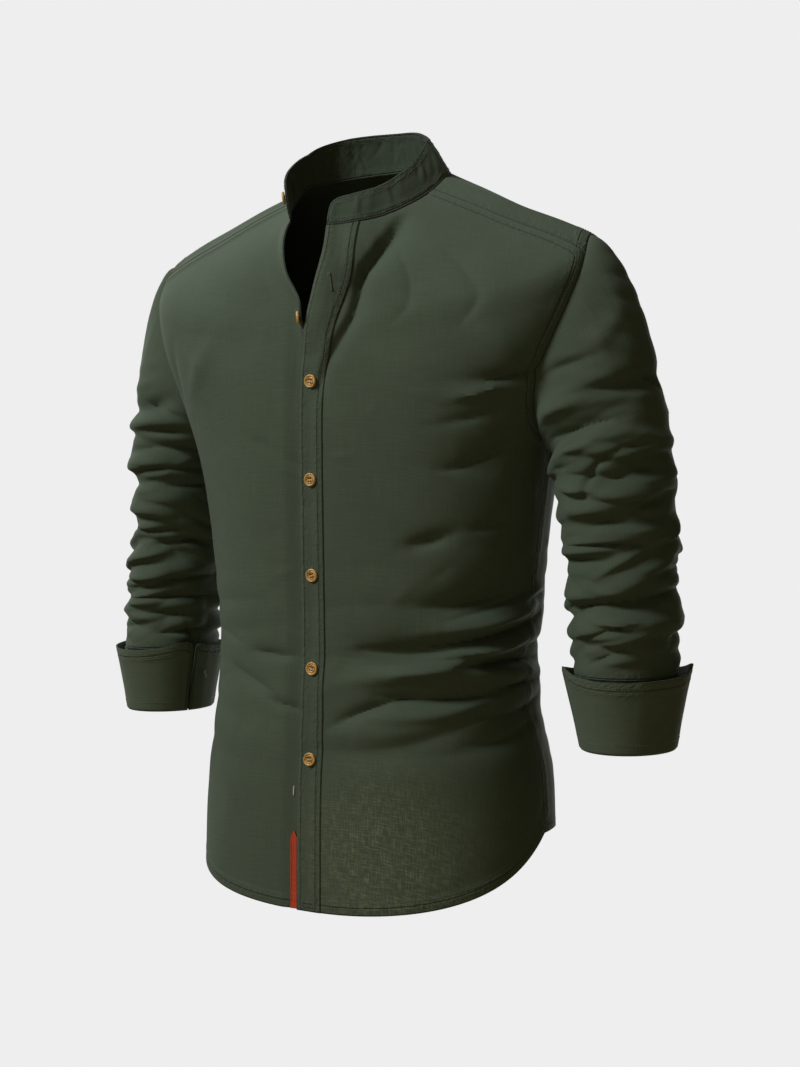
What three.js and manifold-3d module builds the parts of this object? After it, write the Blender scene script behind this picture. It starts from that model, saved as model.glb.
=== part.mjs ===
// Mandarin collar shirt, filled out as worn with no wearer, in millimetres, +Z up.
// The origin is the middle of the neck, level with the high shoulder points. The shirt faces -Y,
// so the wearer's left is +X.
import * as THREE from 'three';
import { mergeVertices } from 'three/addons/utils/BufferGeometryUtils.js';
import Module from 'manifold-3d';

const DEG = Math.PI / 180;

// Cloth walls and the gap kept at each seam
const PANEL_WALL = 1.5;
const STRIP_WALL = 2.0;
const COLLAR_WALL = 2.5;
const SEAM_HALF_GAP = 0.18;
const COLLAR_GAP = 0.3;
const SLEEVE_GAP = 0.35;

const NECK_LEVEL = -4;
const PIT_LEVEL = 247;
const HEM_LEVEL = 630;

// A table is its column names and one row for each section or fold
function table(names, ...rows) {
  return rows.map((row) => Object.fromEntries(names.map((name, i) => [name, row[i]])));
}

// Body sections. A section is one closed level line round the body, named by how far it lies
// below the neck point at the side. It has its own depth and height at the front and the back.
const LEVELS = table(
  ['level', 'half', 'middle', 'front', 'back', 'frontZ', 'backZ', 'square', 'rightLift', 'dip'],
  [NECK_LEVEL, 82, -5, 96, 58, -50, 28, 0.0, 5, 1.2],
  [14, 126, -10, 102, 76, -74, 10, 0.02, 8, 1.5],
  [35, 173, -15, 107, 92, -99, -15, 0.04, 9, 2],
  [54, 218, -19, 110, 101, -121, -40, 0.05, 9, 2],
  [68, 243, -21, 113, 106, -140, -60, 0.06, 8, 2],
  [95, 246, -21, 115, 113, -163, -95, 0.06, 6, 2],
  [130, 237, -19, 118, 119, -190, -135, 0.06, 3, 2],
  [185, 217, -15, 120, 123, -228, -190, 0.05, 0, 2],
  [PIT_LEVEL, 198, -9, 120, 122, -268, -249, 0.05, 0, 2],
  [300, 188, -3, 119, 119, -308, -301, 0.05, 0, 2],
  [380, 177, 0, 117, 115, -380, -380, 0.05, 0, 2],
  [450, 170.5, 0, 116, 116, -450, -450, 0.05, 0, 2],
  [520, 174, 0, 120, 119, -523, -525, 0.05, 0, 3],
  [575, 185.5, 0, 124, 119, -605, -610, 0.05, -5, 4],
  [HEM_LEVEL, 189, 0, 125, 117, -703, -712, 0.05, -12, 4],
);
// How far a level sags between its side and its front height
const LEVEL_BOW = 0.3;

// Armhole: an oval on the body form, its half width in degrees round the body
const ARMHOLE = { top: 68, front: 24, back: 22, shoulderSeam: 25, yokeSeam: -55 };
const SHOULDER_SEAM_NECK = 77;
const YOKE_BACK_LEVEL = 80;
const YOKE_NECK_CORNER = 112;

// Front edges, millimetres to the wearer's left of the centre line, by height
const LEFT_EDGE = table(
  ['drop', 'free', 'seam'],
  [50, 4, 35],
  [74, 6, 36],
  [93, 4, 36],
  [112, 0, 33],
  [141, -6, 26],
  [170, -10, 19.5],
  [200, -12.7, 14.3],
  [720, -12.7, 14.3],
);
const RIGHT_EDGE = table(
  ['drop', 'free', 'seam'],
  [50, -52, -70],
  [75, -42, -70.5],
  [95, -32, -65],
  [112, -20, -56],
  [125, -11.5, -47.5],
  [140, -8, -38.5],
  [150, -9, -32.5],
  [165, 0, -24.5],
  [190, 10, -16.5],
  [215, 13, -14],
  [720, 13, -14],
);
// The open right edge curls forward, as a ridge whose top would lie past the edge
const RIGHT_CURL = table(
  ['drop', 'height', 'width'],
  [50, 4, 14],
  [70, 8, 13],
  [88, 12, 12],
  [104, 16, 10],
  [121, 17, 9],
  [140, 16, 8],
  [148, 2.5, 8],
  [156, 0, 8],
  [720, 0, 8],
);
const CURL_PAST = 0.6;
const UNDERLAP = { depth: 3.6, from: -34, to: -15 };

// Folds of the body cloth: a soft ridge (height above 0) or trough (below 0) along a bowed line
// from one place to another, each place as degrees round from the centre front and level
const FOLD_RADIUS = 150;
const BODY_FOLDS = table(
  ['phi', 'level', 'phiEnd', 'levelEnd', 'width', 'height', 'bow'],
  [4, -4, 1, 112, 15, 9, 0],
  [46, 2, 12, 36, 10, -6, -6],
  [20, 20, 4, 100, 8, -6, -11],
  [72, 172, 37, 160, 9, -3, 0],
  [54, 180, 36, 171, 10, 3, 0],
  [78, 240, 44, 255, 30, -5, 0],
  [62, 275, 36, 268, 14, -3, 0],
  [50, 335, 31, 352, 9, -3, 0],
  [90, 380, 35, 423, 20, -6, 0],
  [104, 398, 40, 434, 10, 7, -4],
  [62, 447, 10, 458, 9, -6, 4],
  [112, 438, 6, 488, 10, 7, -6],
  [116, 468, 48, 466, 11, -8, -5],
  [116, 480, 40, 474, 8, 4, -4],
  [70, 492, 4, 538, 9, -7, 14],
  [70, 502, 12, 528, 11, 4, 8],
  [112, 508, 50, 527, 12, -5, 0],
  [-38, 477, -15, 506, 7, -2.5, 0],
  [-27, 459, -5, 462, 7, -2, 0],
  [-62, 560, -35, 580, 22, -3, 0],
  [-70, 400, -110, 430, 16, 4, 0],
  [112, 415, 165, 455, 18, 6, 10],
  [118, 445, 172, 482, 15, -6, 8],
  [124, 470, 168, 506, 14, 5, 4],
  [114, 520, 160, 556, 18, -4, -6],
  [-110, 425, -162, 463, 18, 6, -8],
  [-114, 460, -170, 494, 15, -6, -8],
  [-120, 488, -164, 520, 14, 4, -4],
  [-106, 530, -156, 562, 18, -4, 6],
  [122, 200, 150, 320, 24, -5, 8],
  [-122, 200, -150, 320, 24, -5, -8],
  [140, 190, 156, 300, 18, 4, 6],
  [-140, 190, -156, 300, 18, 4, -6],
);

// Sleeve sections below the armhole. The right arm hangs a little closer than the left one.
const SLEEVE_SECTIONS = table(
  ['z', 'leftX', 'rightX', 'y', 'leftHalf', 'rightHalf', 'halfY'],
  [-270, 258, 248, -5, 52, 47.5, 61],
  [-300, 261.5, 249, -2, 52.5, 46.5, 61],
  [-335, 265.5, 253, 1, 52.5, 46.5, 59],
  [-375, 267.5, 258, 3, 51.5, 47, 58],
  [-415, 269.7, 263.7, 3, 49.7, 47.2, 57],
  [-455, 270, 268, 3, 47.5, 47, 56],
  [-474, 271, 270, 3, 46.5, 46.5, 56],
);
const SLEEVE_TOP = -270;
const SLEEVE_END = -473.7;
const SLEEVE_TOP_TILT = 20;
const CAP_ROWS = 8;
const TUBE_ROWS = 20;
const CAP_START = 0.5;
const CAP_END = 0.75;
const CAP_LEAN = 1.55;
const DROOP = 0.35;

// Rolls of the pushed-up sleeves: a roll runs round the arm at height z with its middle at turn
// degrees (0 outer side, 90 front), reaches spread degrees each way and climbs by tilt
const LEFT_ROLLS = table(
  ['z', 'turn', 'spread', 'tilt', 'width', 'height'],
  [-165, 75, 40, -70, 10, 4],
  [-196, 100, 50, -62, 8, -5],
  [-212, 30, 80, -14, 12, -6],
  [-232, 120, 90, -26, 9, 6],
  [-252, 105, 80, -26, 9, -6],
  [-262, 30, 80, -8, 9, 6],
  [-282, 150, 60, -18, 8, 6],
  [-290, 55, 60, -24, 10, -6],
  [-306, 60, 110, -14, 9, 6],
  [-330, 40, 80, -6, 13, -5],
  [-350, 90, 110, -8, 9, 6],
  [-366, 120, 60, 0, 8, -5],
  [-376, 45, 60, -28, 9, 6],
  [-398, 130, 60, -8, 9, 5],
  [-408, 70, 110, -8, 10, -6],
  [-426, 60, 120, -4, 8, 7],
  [-444, 100, 60, -20, 8, -4],
  [-456, 70, 80, -16, 8, 3],
  [-215, -90, 70, 16, 12, -5],
  [-240, -110, 90, 12, 10, 6],
  [-268, -90, 80, -10, 10, -5],
  [-292, -110, 90, 8, 10, 6],
  [-322, -90, 90, -8, 12, -5],
  [-350, -120, 80, 10, 10, 6],
  [-378, -90, 90, 6, 10, -5],
  [-404, -100, 90, -8, 10, 6],
  [-430, -110, 80, 6, 9, -4],
);
const RIGHT_ROLLS = table(
  ['z', 'turn', 'spread', 'tilt', 'width', 'height'],
  [-196, 110, 60, 30, 10, -5],
  [-214, 60, 90, 6, 9, -6],
  [-232, 40, 90, 4, 10, 6],
  [-252, 90, 110, -14, 9, -6],
  [-272, 60, 110, -6, 12, 6],
  [-296, 70, 100, 4, 9, -5],
  [-316, 40, 100, 0, 12, 6],
  [-338, 60, 90, 4, 8, -5],
  [-352, 40, 90, 14, 8, 5],
  [-366, 110, 90, -6, 12, -7],
  [-382, 30, 80, 16, 8, 6],
  [-396, 90, 110, 10, 9, 6],
  [-410, 80, 100, 14, 8, -6],
  [-428, 40, 90, 14, 9, 5],
  [-444, 110, 60, 14, 9, -4],
  [-215, -90, 70, 12, 12, -5],
  [-243, -110, 90, -10, 10, 6],
  [-272, -90, 80, 8, 10, -5],
  [-298, -110, 90, -8, 10, 6],
  [-326, -90, 90, 8, 12, -5],
  [-352, -120, 80, -8, 10, 6],
  [-380, -90, 90, -4, 10, -5],
  [-407, -100, 90, 8, 10, 6],
  [-434, -110, 80, -6, 9, -4],
);

// Cuff, turned back once: its profile from the sleeve seam down to the fold and up the flap
const CUFF = {
  leftX: 273,
  rightX: 272,
  y: 3,
  slit: 158,
  slitHalf: 3,
  round: 60,
  corner: 9,
  steps: 22,
};
const CUFF_FOLD_Z = -541;
const CUFF_PROFILE = table(
  ['z', 'halfX', 'halfY', 'flap'],
  [-474, 44, 54, 0],
  [-505, 42, 51.5, 0],
  [-537, 40.5, 49.5, 0],
  [CUFF_FOLD_Z, 42.5, 51.5, 0],
  [-537, 44.6, 53.6, 0],
  [-520, 47, 56.3, 0.25],
  [-496, 51.6, 61, 0.6],
  [-471, 57, 66, 1],
  [-471, 55, 64, 1],
  [-496, 49.6, 59, 0.6],
  [-520, 45, 54.3, 0.25],
  [-534, 43.2, 52.2, 0],
  [-534, 42.5, 51.5, 0],
  [-505, 44, 53.5, 0],
  [-474, 46, 56, 0],
);
// Where the flap's free edge stands out or up, by turn
const FLAP_EDGE = table(
  ['turn', 'out', 'rise', 'width'],
  [-28, 1, 8, 24],
  [150, 3, 6, 22],
  [75, -2, -3, 40],
);

// Collar: how far its top edge leans in and stands up, by degrees from the centre front, round
// over the wearer's left side. Its open right end falls outward.
const COLLAR_SHAPE = table(
  ['phi', 'lean', 'height'],
  [0, 9, 28],
  [30, 9, 31],
  [60, 15, 35.5],
  [90, 22, 38.5],
  [135, 22, 37],
  [180, 10, 40],
  [225, 5, 44],
  [270, 1, 42],
  [300, -4, 40],
  [325, -6, 36],
);
const COLLAR_CORNER = 15;
const COLLAR_ROWS = 4;
const COLLAR_BULGE = 1.2;
const COLLAR_CORNER_CUT = 0.36;

// Buttons: five are done up, the top two are open
const BUTTON = { radius: 6.4, thick: 2.8, rim: 0.7, rimWidth: 1.6, hole: 0.75, holeSpread: 1.5 };
const BUTTON_SIDES = 16;
const HOLE_SIDES = 5;
const CLOSED_BUTTON_DROPS = [199, 292, 383, 472, 558];
const STAND_BUTTON = { drop: 139, inset: 3.4 };
const COLLAR_BUTTON = { inset: 13, share: 0.52 };
const BUTTON_CLEARANCE = { flat: 0.5, curved: 0.9 };

const TAPE = { left: -14.6, right: -21.6, topDrop: 628, wall: 1.0, clear: 0.7 };
const LABEL = { half: 40, top: 5, bottom: 27, wall: 1.0, clear: 1.4 };

const GREEN = 0x3d4438;
const TAN = 0xc49a5a;
const RED = 0xb8402c;
const LABEL_GREEN = 0x232820;

function cloth(colour) {
  return new THREE.MeshStandardMaterial({ color: colour, roughness: 0.9, metalness: 0 });
}
const shirtCloth = cloth(GREEN);
const tapeCloth = cloth(RED);
const labelCloth = cloth(LABEL_GREEN);
const wood = new THREE.MeshStandardMaterial({ color: TAN, roughness: 0.5, metalness: 0 });

const mix = (a, b, k) => a + (b - a) * k;
const steps = (n) => Array.from({ length: n + 1 }, (_, i) => i / n);
const bell = (x) => Math.exp(-x * x);

function ease(x) {
  const k = Math.min(1, Math.max(0, x));
  return k * k * (3 - 2 * k);
}

// The smooth value of one column between a table's rows
function column(rows, key, name, at) {
  const last = rows.length - 1;
  const sign = rows[last][key] > rows[0][key] ? 1 : -1;
  if ((at - rows[0][key]) * sign <= 0) return rows[0][name];
  if ((at - rows[last][key]) * sign >= 0) return rows[last][name];
  let i = 0;
  while ((at - rows[i + 1][key]) * sign > 0) i += 1;
  const slope = (j) => {
    const before = rows[Math.max(0, j - 1)];
    const after = rows[Math.min(last, j + 1)];
    return (after[name] - before[name]) / (after[key] - before[key]);
  };
  const span = rows[i + 1][key] - rows[i][key];
  const k = (at - rows[i][key]) / span;
  const start = rows[i][name] * (1 + 2 * k) * (1 - k) ** 2 + span * slope(i) * k * (1 - k) ** 2;
  const end = rows[i + 1][name] * k * k * (3 - 2 * k) + span * slope(i + 1) * k * k * (k - 1);
  return start + end;
}

// A point of the smooth body form, phi degrees round from the centre front at a level
function form(phi, level) {
  const at = (name) => column(LEVELS, 'level', name, level);
  const side = Math.sin(phi * DEG);
  const ahead = Math.cos(phi * DEG);
  const corner = 1 + at('square') * Math.sin(2 * phi * DEG) ** 2;
  const middle = at('middle');
  const reach = ahead > 0 ? at('front') + middle : at('back') - middle;
  const z = ahead > 0
    ? mix(-level, at('frontZ'), ahead * (1 + LEVEL_BOW * (1 - ahead)))
    : mix(-level, at('backZ'), Math.abs(ahead) ** at('dip'));
  const lift = at('rightLift') * Math.max(0, -side) ** 1.5;
  return new THREE.Vector3(at('half') * side * corner, middle - reach * ahead * corner, z + lift);
}

function normalOf(surface, phi, level) {
  const across = surface(phi + 0.4, level).sub(surface(phi - 0.4, level));
  const down = surface(phi, level + 0.8).sub(surface(phi, level - 0.8));
  return across.cross(down).normalize().negate();
}

// Height of the folds above the form
function relief(phi, level) {
  let height = 0;
  for (const fold of BODY_FOLDS) {
    const x = (phi - fold.phi) * DEG * FOLD_RADIUS;
    const y = level - fold.level;
    const endX = (fold.phiEnd - fold.phi) * DEG * FOLD_RADIUS;
    const endY = fold.levelEnd - fold.level;
    const length = Math.hypot(endX, endY);
    const along = (x * endX + y * endY) / (length * length);
    const aside = (x * endY - y * endX) / length;
    const inside = Math.min(1, Math.max(0, along));
    const past = (along - inside) * length;
    const off = aside - 4 * fold.bow * inside * (1 - inside);
    const taper = 0.25 + 0.75 * Math.sin(Math.PI * inside);
    height += fold.height * taper * bell(off / fold.width) * bell(past / (1.5 * fold.width));
  }
  return height;
}

function dropAt(level) {
  return -column(LEVELS, 'level', 'frontZ', level);
}

// The outer face of the body cloth
function skin(phi, level) {
  return form(phi, level).addScaledVector(normalOf(form, phi, level), relief(phi, level));
}

// The right front's outer face, which curls forward and then dips behind the left placket
function underSkin(phi, level) {
  const p = skin(phi, level);
  const drop = dropAt(level);
  const off = (p.x - column(RIGHT_EDGE, 'drop', 'free', drop))
    / column(RIGHT_CURL, 'drop', 'width', drop);
  const curl = column(RIGHT_CURL, 'drop', 'height', drop) * bell(off - CURL_PAST);
  const sunk = UNDERLAP.depth * ease((p.x - UNDERLAP.from) / (UNDERLAP.to - UNDERLAP.from));
  return p.addScaledVector(normalOf(form, phi, level), curl - sunk);
}

// Degrees round the body of a place so many millimetres from the centre line
function phiAt(offset, level) {
  return Math.asin(offset / column(LEVELS, 'level', 'half', level)) / DEG;
}

function edgePhi(edge, name, level) {
  return phiAt(column(edge, 'drop', name, dropAt(level)), level);
}

// Armhole places by turn: 0 top, 90 front, 180 under the arm, negative behind
function armhole(turn) {
  const reach = Math.sin(turn * DEG) > 0 ? ARMHOLE.front : ARMHOLE.back;
  const halfHeight = (PIT_LEVEL - ARMHOLE.top) / 2;
  return {
    phi: 90 - reach * Math.sin(turn * DEG),
    level: ARMHOLE.top + halfHeight * (1 - Math.cos(turn * DEG)),
  };
}

// Shared samples along the seams
const FRONT_TURNS = steps(10).map((k) => mix(ARMHOLE.shoulderSeam, 180, k));
const BACK_TURNS = steps(8).map((k) => mix(ARMHOLE.yokeSeam, -180, k));
const YOKE_TURNS = steps(5).map((k) => mix(ARMHOLE.shoulderSeam, ARMHOLE.yokeSeam, k));
const SIDE_STRETCHES = table(
  ['from', 'to', 'rows'],
  [PIT_LEVEL, 395, 5],
  [395, 545, 12],
  [545, HEM_LEVEL, 4],
);
const SIDE_LEVELS = SIDE_STRETCHES.flatMap(({ from, to, rows }) =>
  steps(rows).slice(1).map((k) => mix(from, to, k)));
const shoulderEnd = armhole(ARMHOLE.shoulderSeam);
const SHOULDER_SHARES = [0, 0.18, 0.36, 0.54, 0.72, 0.895, 1];
const SHOULDER_ROWS = SHOULDER_SHARES.slice(0, -1).map((k) => ({
  phi: mix(SHOULDER_SEAM_NECK, shoulderEnd.phi, k),
  level: mix(NECK_LEVEL, shoulderEnd.level, k),
}));
// A front row's outer end, and the level of its inner end at the centre front
const FRONT_ROWS = [
  ...SHOULDER_ROWS,
  ...FRONT_TURNS.map(armhole),
  ...SIDE_LEVELS.map((level) => ({ phi: 90, level })),
].map(({ phi, level }, i) => {
  const past = (i - SHOULDER_ROWS.length) / (FRONT_TURNS.length - 1);
  const inner = past > 0 && past < 1 ? mix(shoulderEnd.level, PIT_LEVEL, past) : level;
  return { phi, level, inner };
});
const FRONT_COLUMNS = steps(11).map((k) => k ** 1.45);
const PLACKET_COLUMNS = steps(3);
const STAND_COLUMNS = steps(5).map((k) => k ** 1.5);
const BACK_COLUMNS = steps(12);

// A closed body between an outer and an inner grid of points. Rows may close on themselves.
function shellGeometry(outer, inner, closedRows) {
  const rows = outer.length;
  const columns = outer[0].length;
  const wraps = closedRows ? columns : columns - 1;
  const points = [...outer.flat(), ...inner.flat()];
  const far = rows * columns;
  const at = (r, c, layer) => layer * far + r * columns + (c % columns);
  const faces = [];
  const quad = (a, b, c, d) => faces.push([a, b, c], [a, c, d]);
  for (let r = 0; r < rows - 1; r += 1) {
    for (let c = 0; c < wraps; c += 1) {
      quad(at(r, c, 0), at(r + 1, c, 0), at(r + 1, c + 1, 0), at(r, c + 1, 0));
      quad(at(r, c, 1), at(r, c + 1, 1), at(r + 1, c + 1, 1), at(r + 1, c, 1));
    }
  }
  for (let c = 0; c < wraps; c += 1) {
    quad(at(0, c, 0), at(0, c + 1, 0), at(0, c + 1, 1), at(0, c, 1));
    quad(at(rows - 1, c, 0), at(rows - 1, c, 1), at(rows - 1, c + 1, 1), at(rows - 1, c + 1, 0));
  }
  if (!closedRows) {
    for (let r = 0; r < rows - 1; r += 1) {
      quad(at(r, 0, 0), at(r, 0, 1), at(r + 1, 0, 1), at(r + 1, 0, 0));
      const c = columns - 1;
      quad(at(r, c, 0), at(r + 1, c, 0), at(r + 1, c, 1), at(r, c, 1));
    }
  }
  return closedGeometry(points, faces);
}

// Geometry from points and faces, turned so that its faces point out
function closedGeometry(points, faces) {
  let volume = 0;
  for (const [a, b, c] of faces) {
    volume += points[a].dot(new THREE.Vector3().crossVectors(points[b], points[c]));
  }
  const turned = volume > 0 ? faces : faces.map(([a, b, c]) => [a, c, b]);
  const geometry = new THREE.BufferGeometry();
  geometry.setAttribute('position', new THREE.Float32BufferAttribute(
    points.flatMap((p) => [p.x, p.y, p.z]), 3));
  geometry.setIndex(turned.flat());
  geometry.computeVertexNormals();
  return geometry;
}

// Moves one edge of a grid into its panel, square to the edge
function pullEdge(outer, inner, edge, amount) {
  const rows = outer.length;
  const columns = outer[0].length;
  const count = edge === 'top' || edge === 'bottom' ? columns : rows;
  const place = (i, depth) => {
    if (edge === 'top') return [depth, i];
    if (edge === 'bottom') return [rows - 1 - depth, i];
    if (edge === 'start') return [i, depth];
    return [i, columns - 1 - depth];
  };
  const point = (i, depth) => {
    const [r, c] = place(i, depth);
    return outer[r][c];
  };
  const moves = [];
  for (let i = 0; i < count; i += 1) {
    const tangent = point(Math.min(count - 1, i + 1), 0).clone()
      .sub(point(Math.max(0, i - 1), 0)).normalize();
    const inward = point(i, 1).clone().sub(point(i, 0));
    inward.addScaledVector(tangent, -inward.dot(tangent)).normalize();
    moves.push(inward.multiplyScalar(amount));
  }
  moves.forEach((move, i) => {
    const [r, c] = place(i, 0);
    outer[r][c].add(move);
    inner[r][c].add(move);
  });
}

// A piece of body cloth: places is a grid of {phi, level} on a surface
function clothPiece(name, places, surface, wall, edges, material) {
  const outer = places.map((row) => row.map((p) => surface(p.phi, p.level)));
  const inner = places.map((row, r) => row.map((p, c) => outer[r][c].clone()
    .addScaledVector(normalOf(surface, p.phi, p.level), -wall)));
  for (const [edge, amount] of Object.entries(edges)) pullEdge(outer, inner, edge, amount);
  const mesh = new THREE.Mesh(shellGeometry(outer, inner, false), material);
  mesh.name = name;
  return mesh;
}

const seams = { top: SEAM_HALF_GAP, start: SEAM_HALF_GAP, end: SEAM_HALF_GAP };

function leftFront() {
  const places = FRONT_ROWS.map(({ phi, level, inner }) => {
    const start = edgePhi(LEFT_EDGE, 'seam', inner);
    return FRONT_COLUMNS.map((k) => ({ phi: mix(start, phi, k), level: mix(inner, level, k) }));
  });
  return clothPiece('front_left', places, skin, PANEL_WALL, seams, shirtCloth);
}

function rightFront() {
  const places = FRONT_ROWS.map(({ phi, level, inner }) => {
    const start = edgePhi(RIGHT_EDGE, 'seam', inner);
    return FRONT_COLUMNS.map((k) => ({ phi: mix(start, -phi, k), level: mix(inner, level, k) }));
  });
  return clothPiece('front_right', places, underSkin, PANEL_WALL, seams, shirtCloth);
}

function frontStrip(name, edge, columns, surface) {
  const places = FRONT_ROWS.map(({ inner }) => {
    const free = edgePhi(edge, 'free', inner);
    const seam = edgePhi(edge, 'seam', inner);
    return columns.map((k) => ({ phi: mix(free, seam, k), level: inner }));
  });
  const edges = { top: SEAM_HALF_GAP, end: SEAM_HALF_GAP };
  return clothPiece(name, places, surface, STRIP_WALL, edges, shirtCloth);
}

// The back's rows start along the yoke seam and even out below it
const BACK_ROWS = [
  ...BACK_TURNS.map(armhole),
  ...SIDE_LEVELS.map((level) => ({ phi: 90, level })),
];

function backPlace(row, k) {
  const { phi, level } = BACK_ROWS[row];
  const past = row / (BACK_TURNS.length - 1);
  const middle = past < 1 ? mix(YOKE_BACK_LEVEL, PIT_LEVEL, past) : level;
  const share = Math.sin(0.5 * Math.PI * (1 - Math.abs(1 - 2 * k)));
  return { phi: mix(phi, 360 - phi, k), level: mix(level, middle, share) };
}

function backPanel() {
  const places = BACK_ROWS.map((_, row) => BACK_COLUMNS.map((k) => backPlace(row, k)));
  return clothPiece('back', places, bodySkin, PANEL_WALL, seams, shirtCloth);
}

// Angles beyond the centre back count back down from the other side
function bodySkin(phi, level) {
  return skin(phi > 180 ? phi - 360 : phi, level);
}

// The yoke's columns run from the neckline to the armholes and the back seam
function yokeColumns() {
  const left = YOKE_TURNS.map((turn, i) => ({
    neck: mix(SHOULDER_SEAM_NECK, YOKE_NECK_CORNER, i / (YOKE_TURNS.length - 1)),
    outer: armhole(turn),
  }));
  const across = BACK_COLUMNS.slice(1, -1).map((k) => ({
    neck: mix(YOKE_NECK_CORNER, 360 - YOKE_NECK_CORNER, k),
    outer: backPlace(0, k),
  }));
  const right = [...left].reverse().map(({ neck, outer }) => ({
    neck: 360 - neck,
    outer: { phi: 360 - outer.phi, level: outer.level },
  }));
  return [...left, ...across, ...right];
}

function yoke() {
  const columns = yokeColumns();
  const places = SHOULDER_SHARES.map((k) => columns.map(({ neck, outer }) => ({
    phi: mix(neck, outer.phi, k),
    level: mix(NECK_LEVEL, outer.level, k),
  })));
  return clothPiece('yoke', places, bodySkin, PANEL_WALL, { ...seams, bottom: SEAM_HALF_GAP },
    shirtCloth);
}

// Collar: one standing band from the right front edge round the back to the left front edge
function collarPlaces() {
  const strip = (edge, columns) => columns.map((k) =>
    mix(edgePhi(edge, 'free', NECK_LEVEL), edgePhi(edge, 'seam', NECK_LEVEL), k));
  const panel = (edge, end) => FRONT_COLUMNS.map((k) =>
    mix(edgePhi(edge, 'seam', NECK_LEVEL), end, k));
  const left = [...strip(LEFT_EDGE, PLACKET_COLUMNS),
    ...panel(LEFT_EDGE, SHOULDER_SEAM_NECK).slice(1)];
  const right = [...strip(RIGHT_EDGE, STAND_COLUMNS),
    ...panel(RIGHT_EDGE, -SHOULDER_SEAM_NECK).slice(1)];
  const back = yokeColumns().map(({ neck }) => neck).slice(1, -1);
  return [...left, ...back, ...right.map((phi) => phi + 360).reverse()];
}

function collarPoint(phi, share) {
  const base = phi > 270 ? underSkin(phi - 360, NECK_LEVEL) : bodySkin(phi, NECK_LEVEL);
  const lean = column(COLLAR_SHAPE, 'phi', 'lean', phi);
  const height = column(COLLAR_SHAPE, 'phi', 'height', phi);
  const inward = new THREE.Vector3(-base.x, LEVELS[0].middle - base.y, 0).normalize();
  const bulge = Math.sin(Math.PI * share) * COLLAR_BULGE;
  return base.addScaledVector(inward, lean * share - bulge)
    .add(new THREE.Vector3(0, 0, COLLAR_GAP + (height - COLLAR_GAP) * share));
}

// How much of its height the collar keeps near a rounded front end
function collarShare(places, i) {
  const base = places.map((phi) => collarPoint(phi, 0));
  const fromLeft = base[i].distanceTo(base[0]);
  const fromRight = base[i].distanceTo(base[base.length - 1]);
  const near = Math.min(fromLeft, fromRight, COLLAR_CORNER) / COLLAR_CORNER;
  return 1 - COLLAR_CORNER_CUT * (1 - Math.sqrt(1 - (1 - near) ** 2));
}

function gridNormals(grid, closedRows) {
  const rows = grid.length;
  const columns = grid[0].length;
  return grid.map((row, r) => row.map((_, c) => {
    const left = closedRows ? (c + columns - 1) % columns : Math.max(0, c - 1);
    const right = closedRows ? (c + 1) % columns : Math.min(columns - 1, c + 1);
    const across = grid[r][right].clone().sub(grid[r][left]);
    const down = grid[Math.min(rows - 1, r + 1)][c].clone().sub(grid[Math.max(0, r - 1)][c]);
    return across.cross(down).normalize();
  }));
}

function collarGrid() {
  const places = collarPlaces();
  return steps(COLLAR_ROWS).map((k) => places.map((phi, i) =>
    collarPoint(phi, k * collarShare(places, i))));
}

function collar() {
  const outer = collarGrid();
  const normals = gridNormals(outer, false);
  const inner = outer.map((row, r) => row.map((p, c) => p.clone()
    .addScaledVector(normals[r][c], -COLLAR_WALL)));
  const mesh = new THREE.Mesh(shellGeometry(outer, inner, false), shirtCloth);
  mesh.name = 'collar';
  return mesh;
}

// Sleeves. The turn of a sleeve point is its armhole turn, and 0 is the outer side lower down.
function sleeveTurns() {
  const front = FRONT_TURNS.slice(0, -1);
  const back = BACK_TURNS.slice().reverse().map((turn) => turn + 360);
  const top = YOKE_TURNS.slice(1, -1).reverse().map((turn) => turn + 360);
  return [...front, ...back, ...top];
}

function tubePoint(side, turn, z, tilt) {
  const at = (name) => column(SLEEVE_SECTIONS, 'z', name, z);
  const half = at(side > 0 ? 'leftHalf' : 'rightHalf');
  const x = at(side > 0 ? 'leftX' : 'rightX') + half * Math.cos(turn * DEG);
  const y = at('y') - at('halfY') * Math.sin(turn * DEG);
  return new THREE.Vector3(side * x, y, z + tilt * Math.cos(turn * DEG));
}

function rollHeight(rolls, turn, z) {
  let height = 0;
  for (const roll of rolls) {
    const gap = ((turn - roll.turn + 540) % 360) - 180;
    if (Math.abs(gap) >= roll.spread) continue;
    const fade = Math.cos(0.5 * Math.PI * gap / roll.spread) ** 2;
    const line = roll.z + roll.tilt * gap * DEG;
    height += roll.height * Math.sqrt(fade) * bell((z - line) / roll.width);
  }
  return height;
}

// One sleeve point before its rolls: share runs over the cap from the armhole, then z runs down
function capPoint(side, turn, k) {
  const place = armhole(turn);
  const start = skin(side * place.phi, place.level);
  const out = normalOf(skin, side * place.phi, place.level);
  const end = tubePoint(side, turn, SLEEVE_TOP, SLEEVE_TOP_TILT);
  const span = end.clone().sub(start);
  const length = span.length();
  const lean = CAP_LEAN * (0.5 + 0.5 * Math.cos(turn * DEG));
  const leave = span.clone().normalize().addScaledVector(out, lean).normalize();
  const under = out.clone().multiplyScalar(0.5 - 0.5 * Math.cos(turn * DEG)).add(leave);
  start.addScaledVector(under.normalize(), SLEEVE_GAP);
  const arrive = new THREE.Vector3(0, 0, -1);
  return start.multiplyScalar((1 + 2 * k) * (1 - k) ** 2)
    .addScaledVector(leave, CAP_START * length * k * (1 - k) ** 2)
    .addScaledVector(end, k * k * (3 - 2 * k))
    .addScaledVector(arrive, CAP_END * length * k * k * (k - 1));
}

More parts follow.
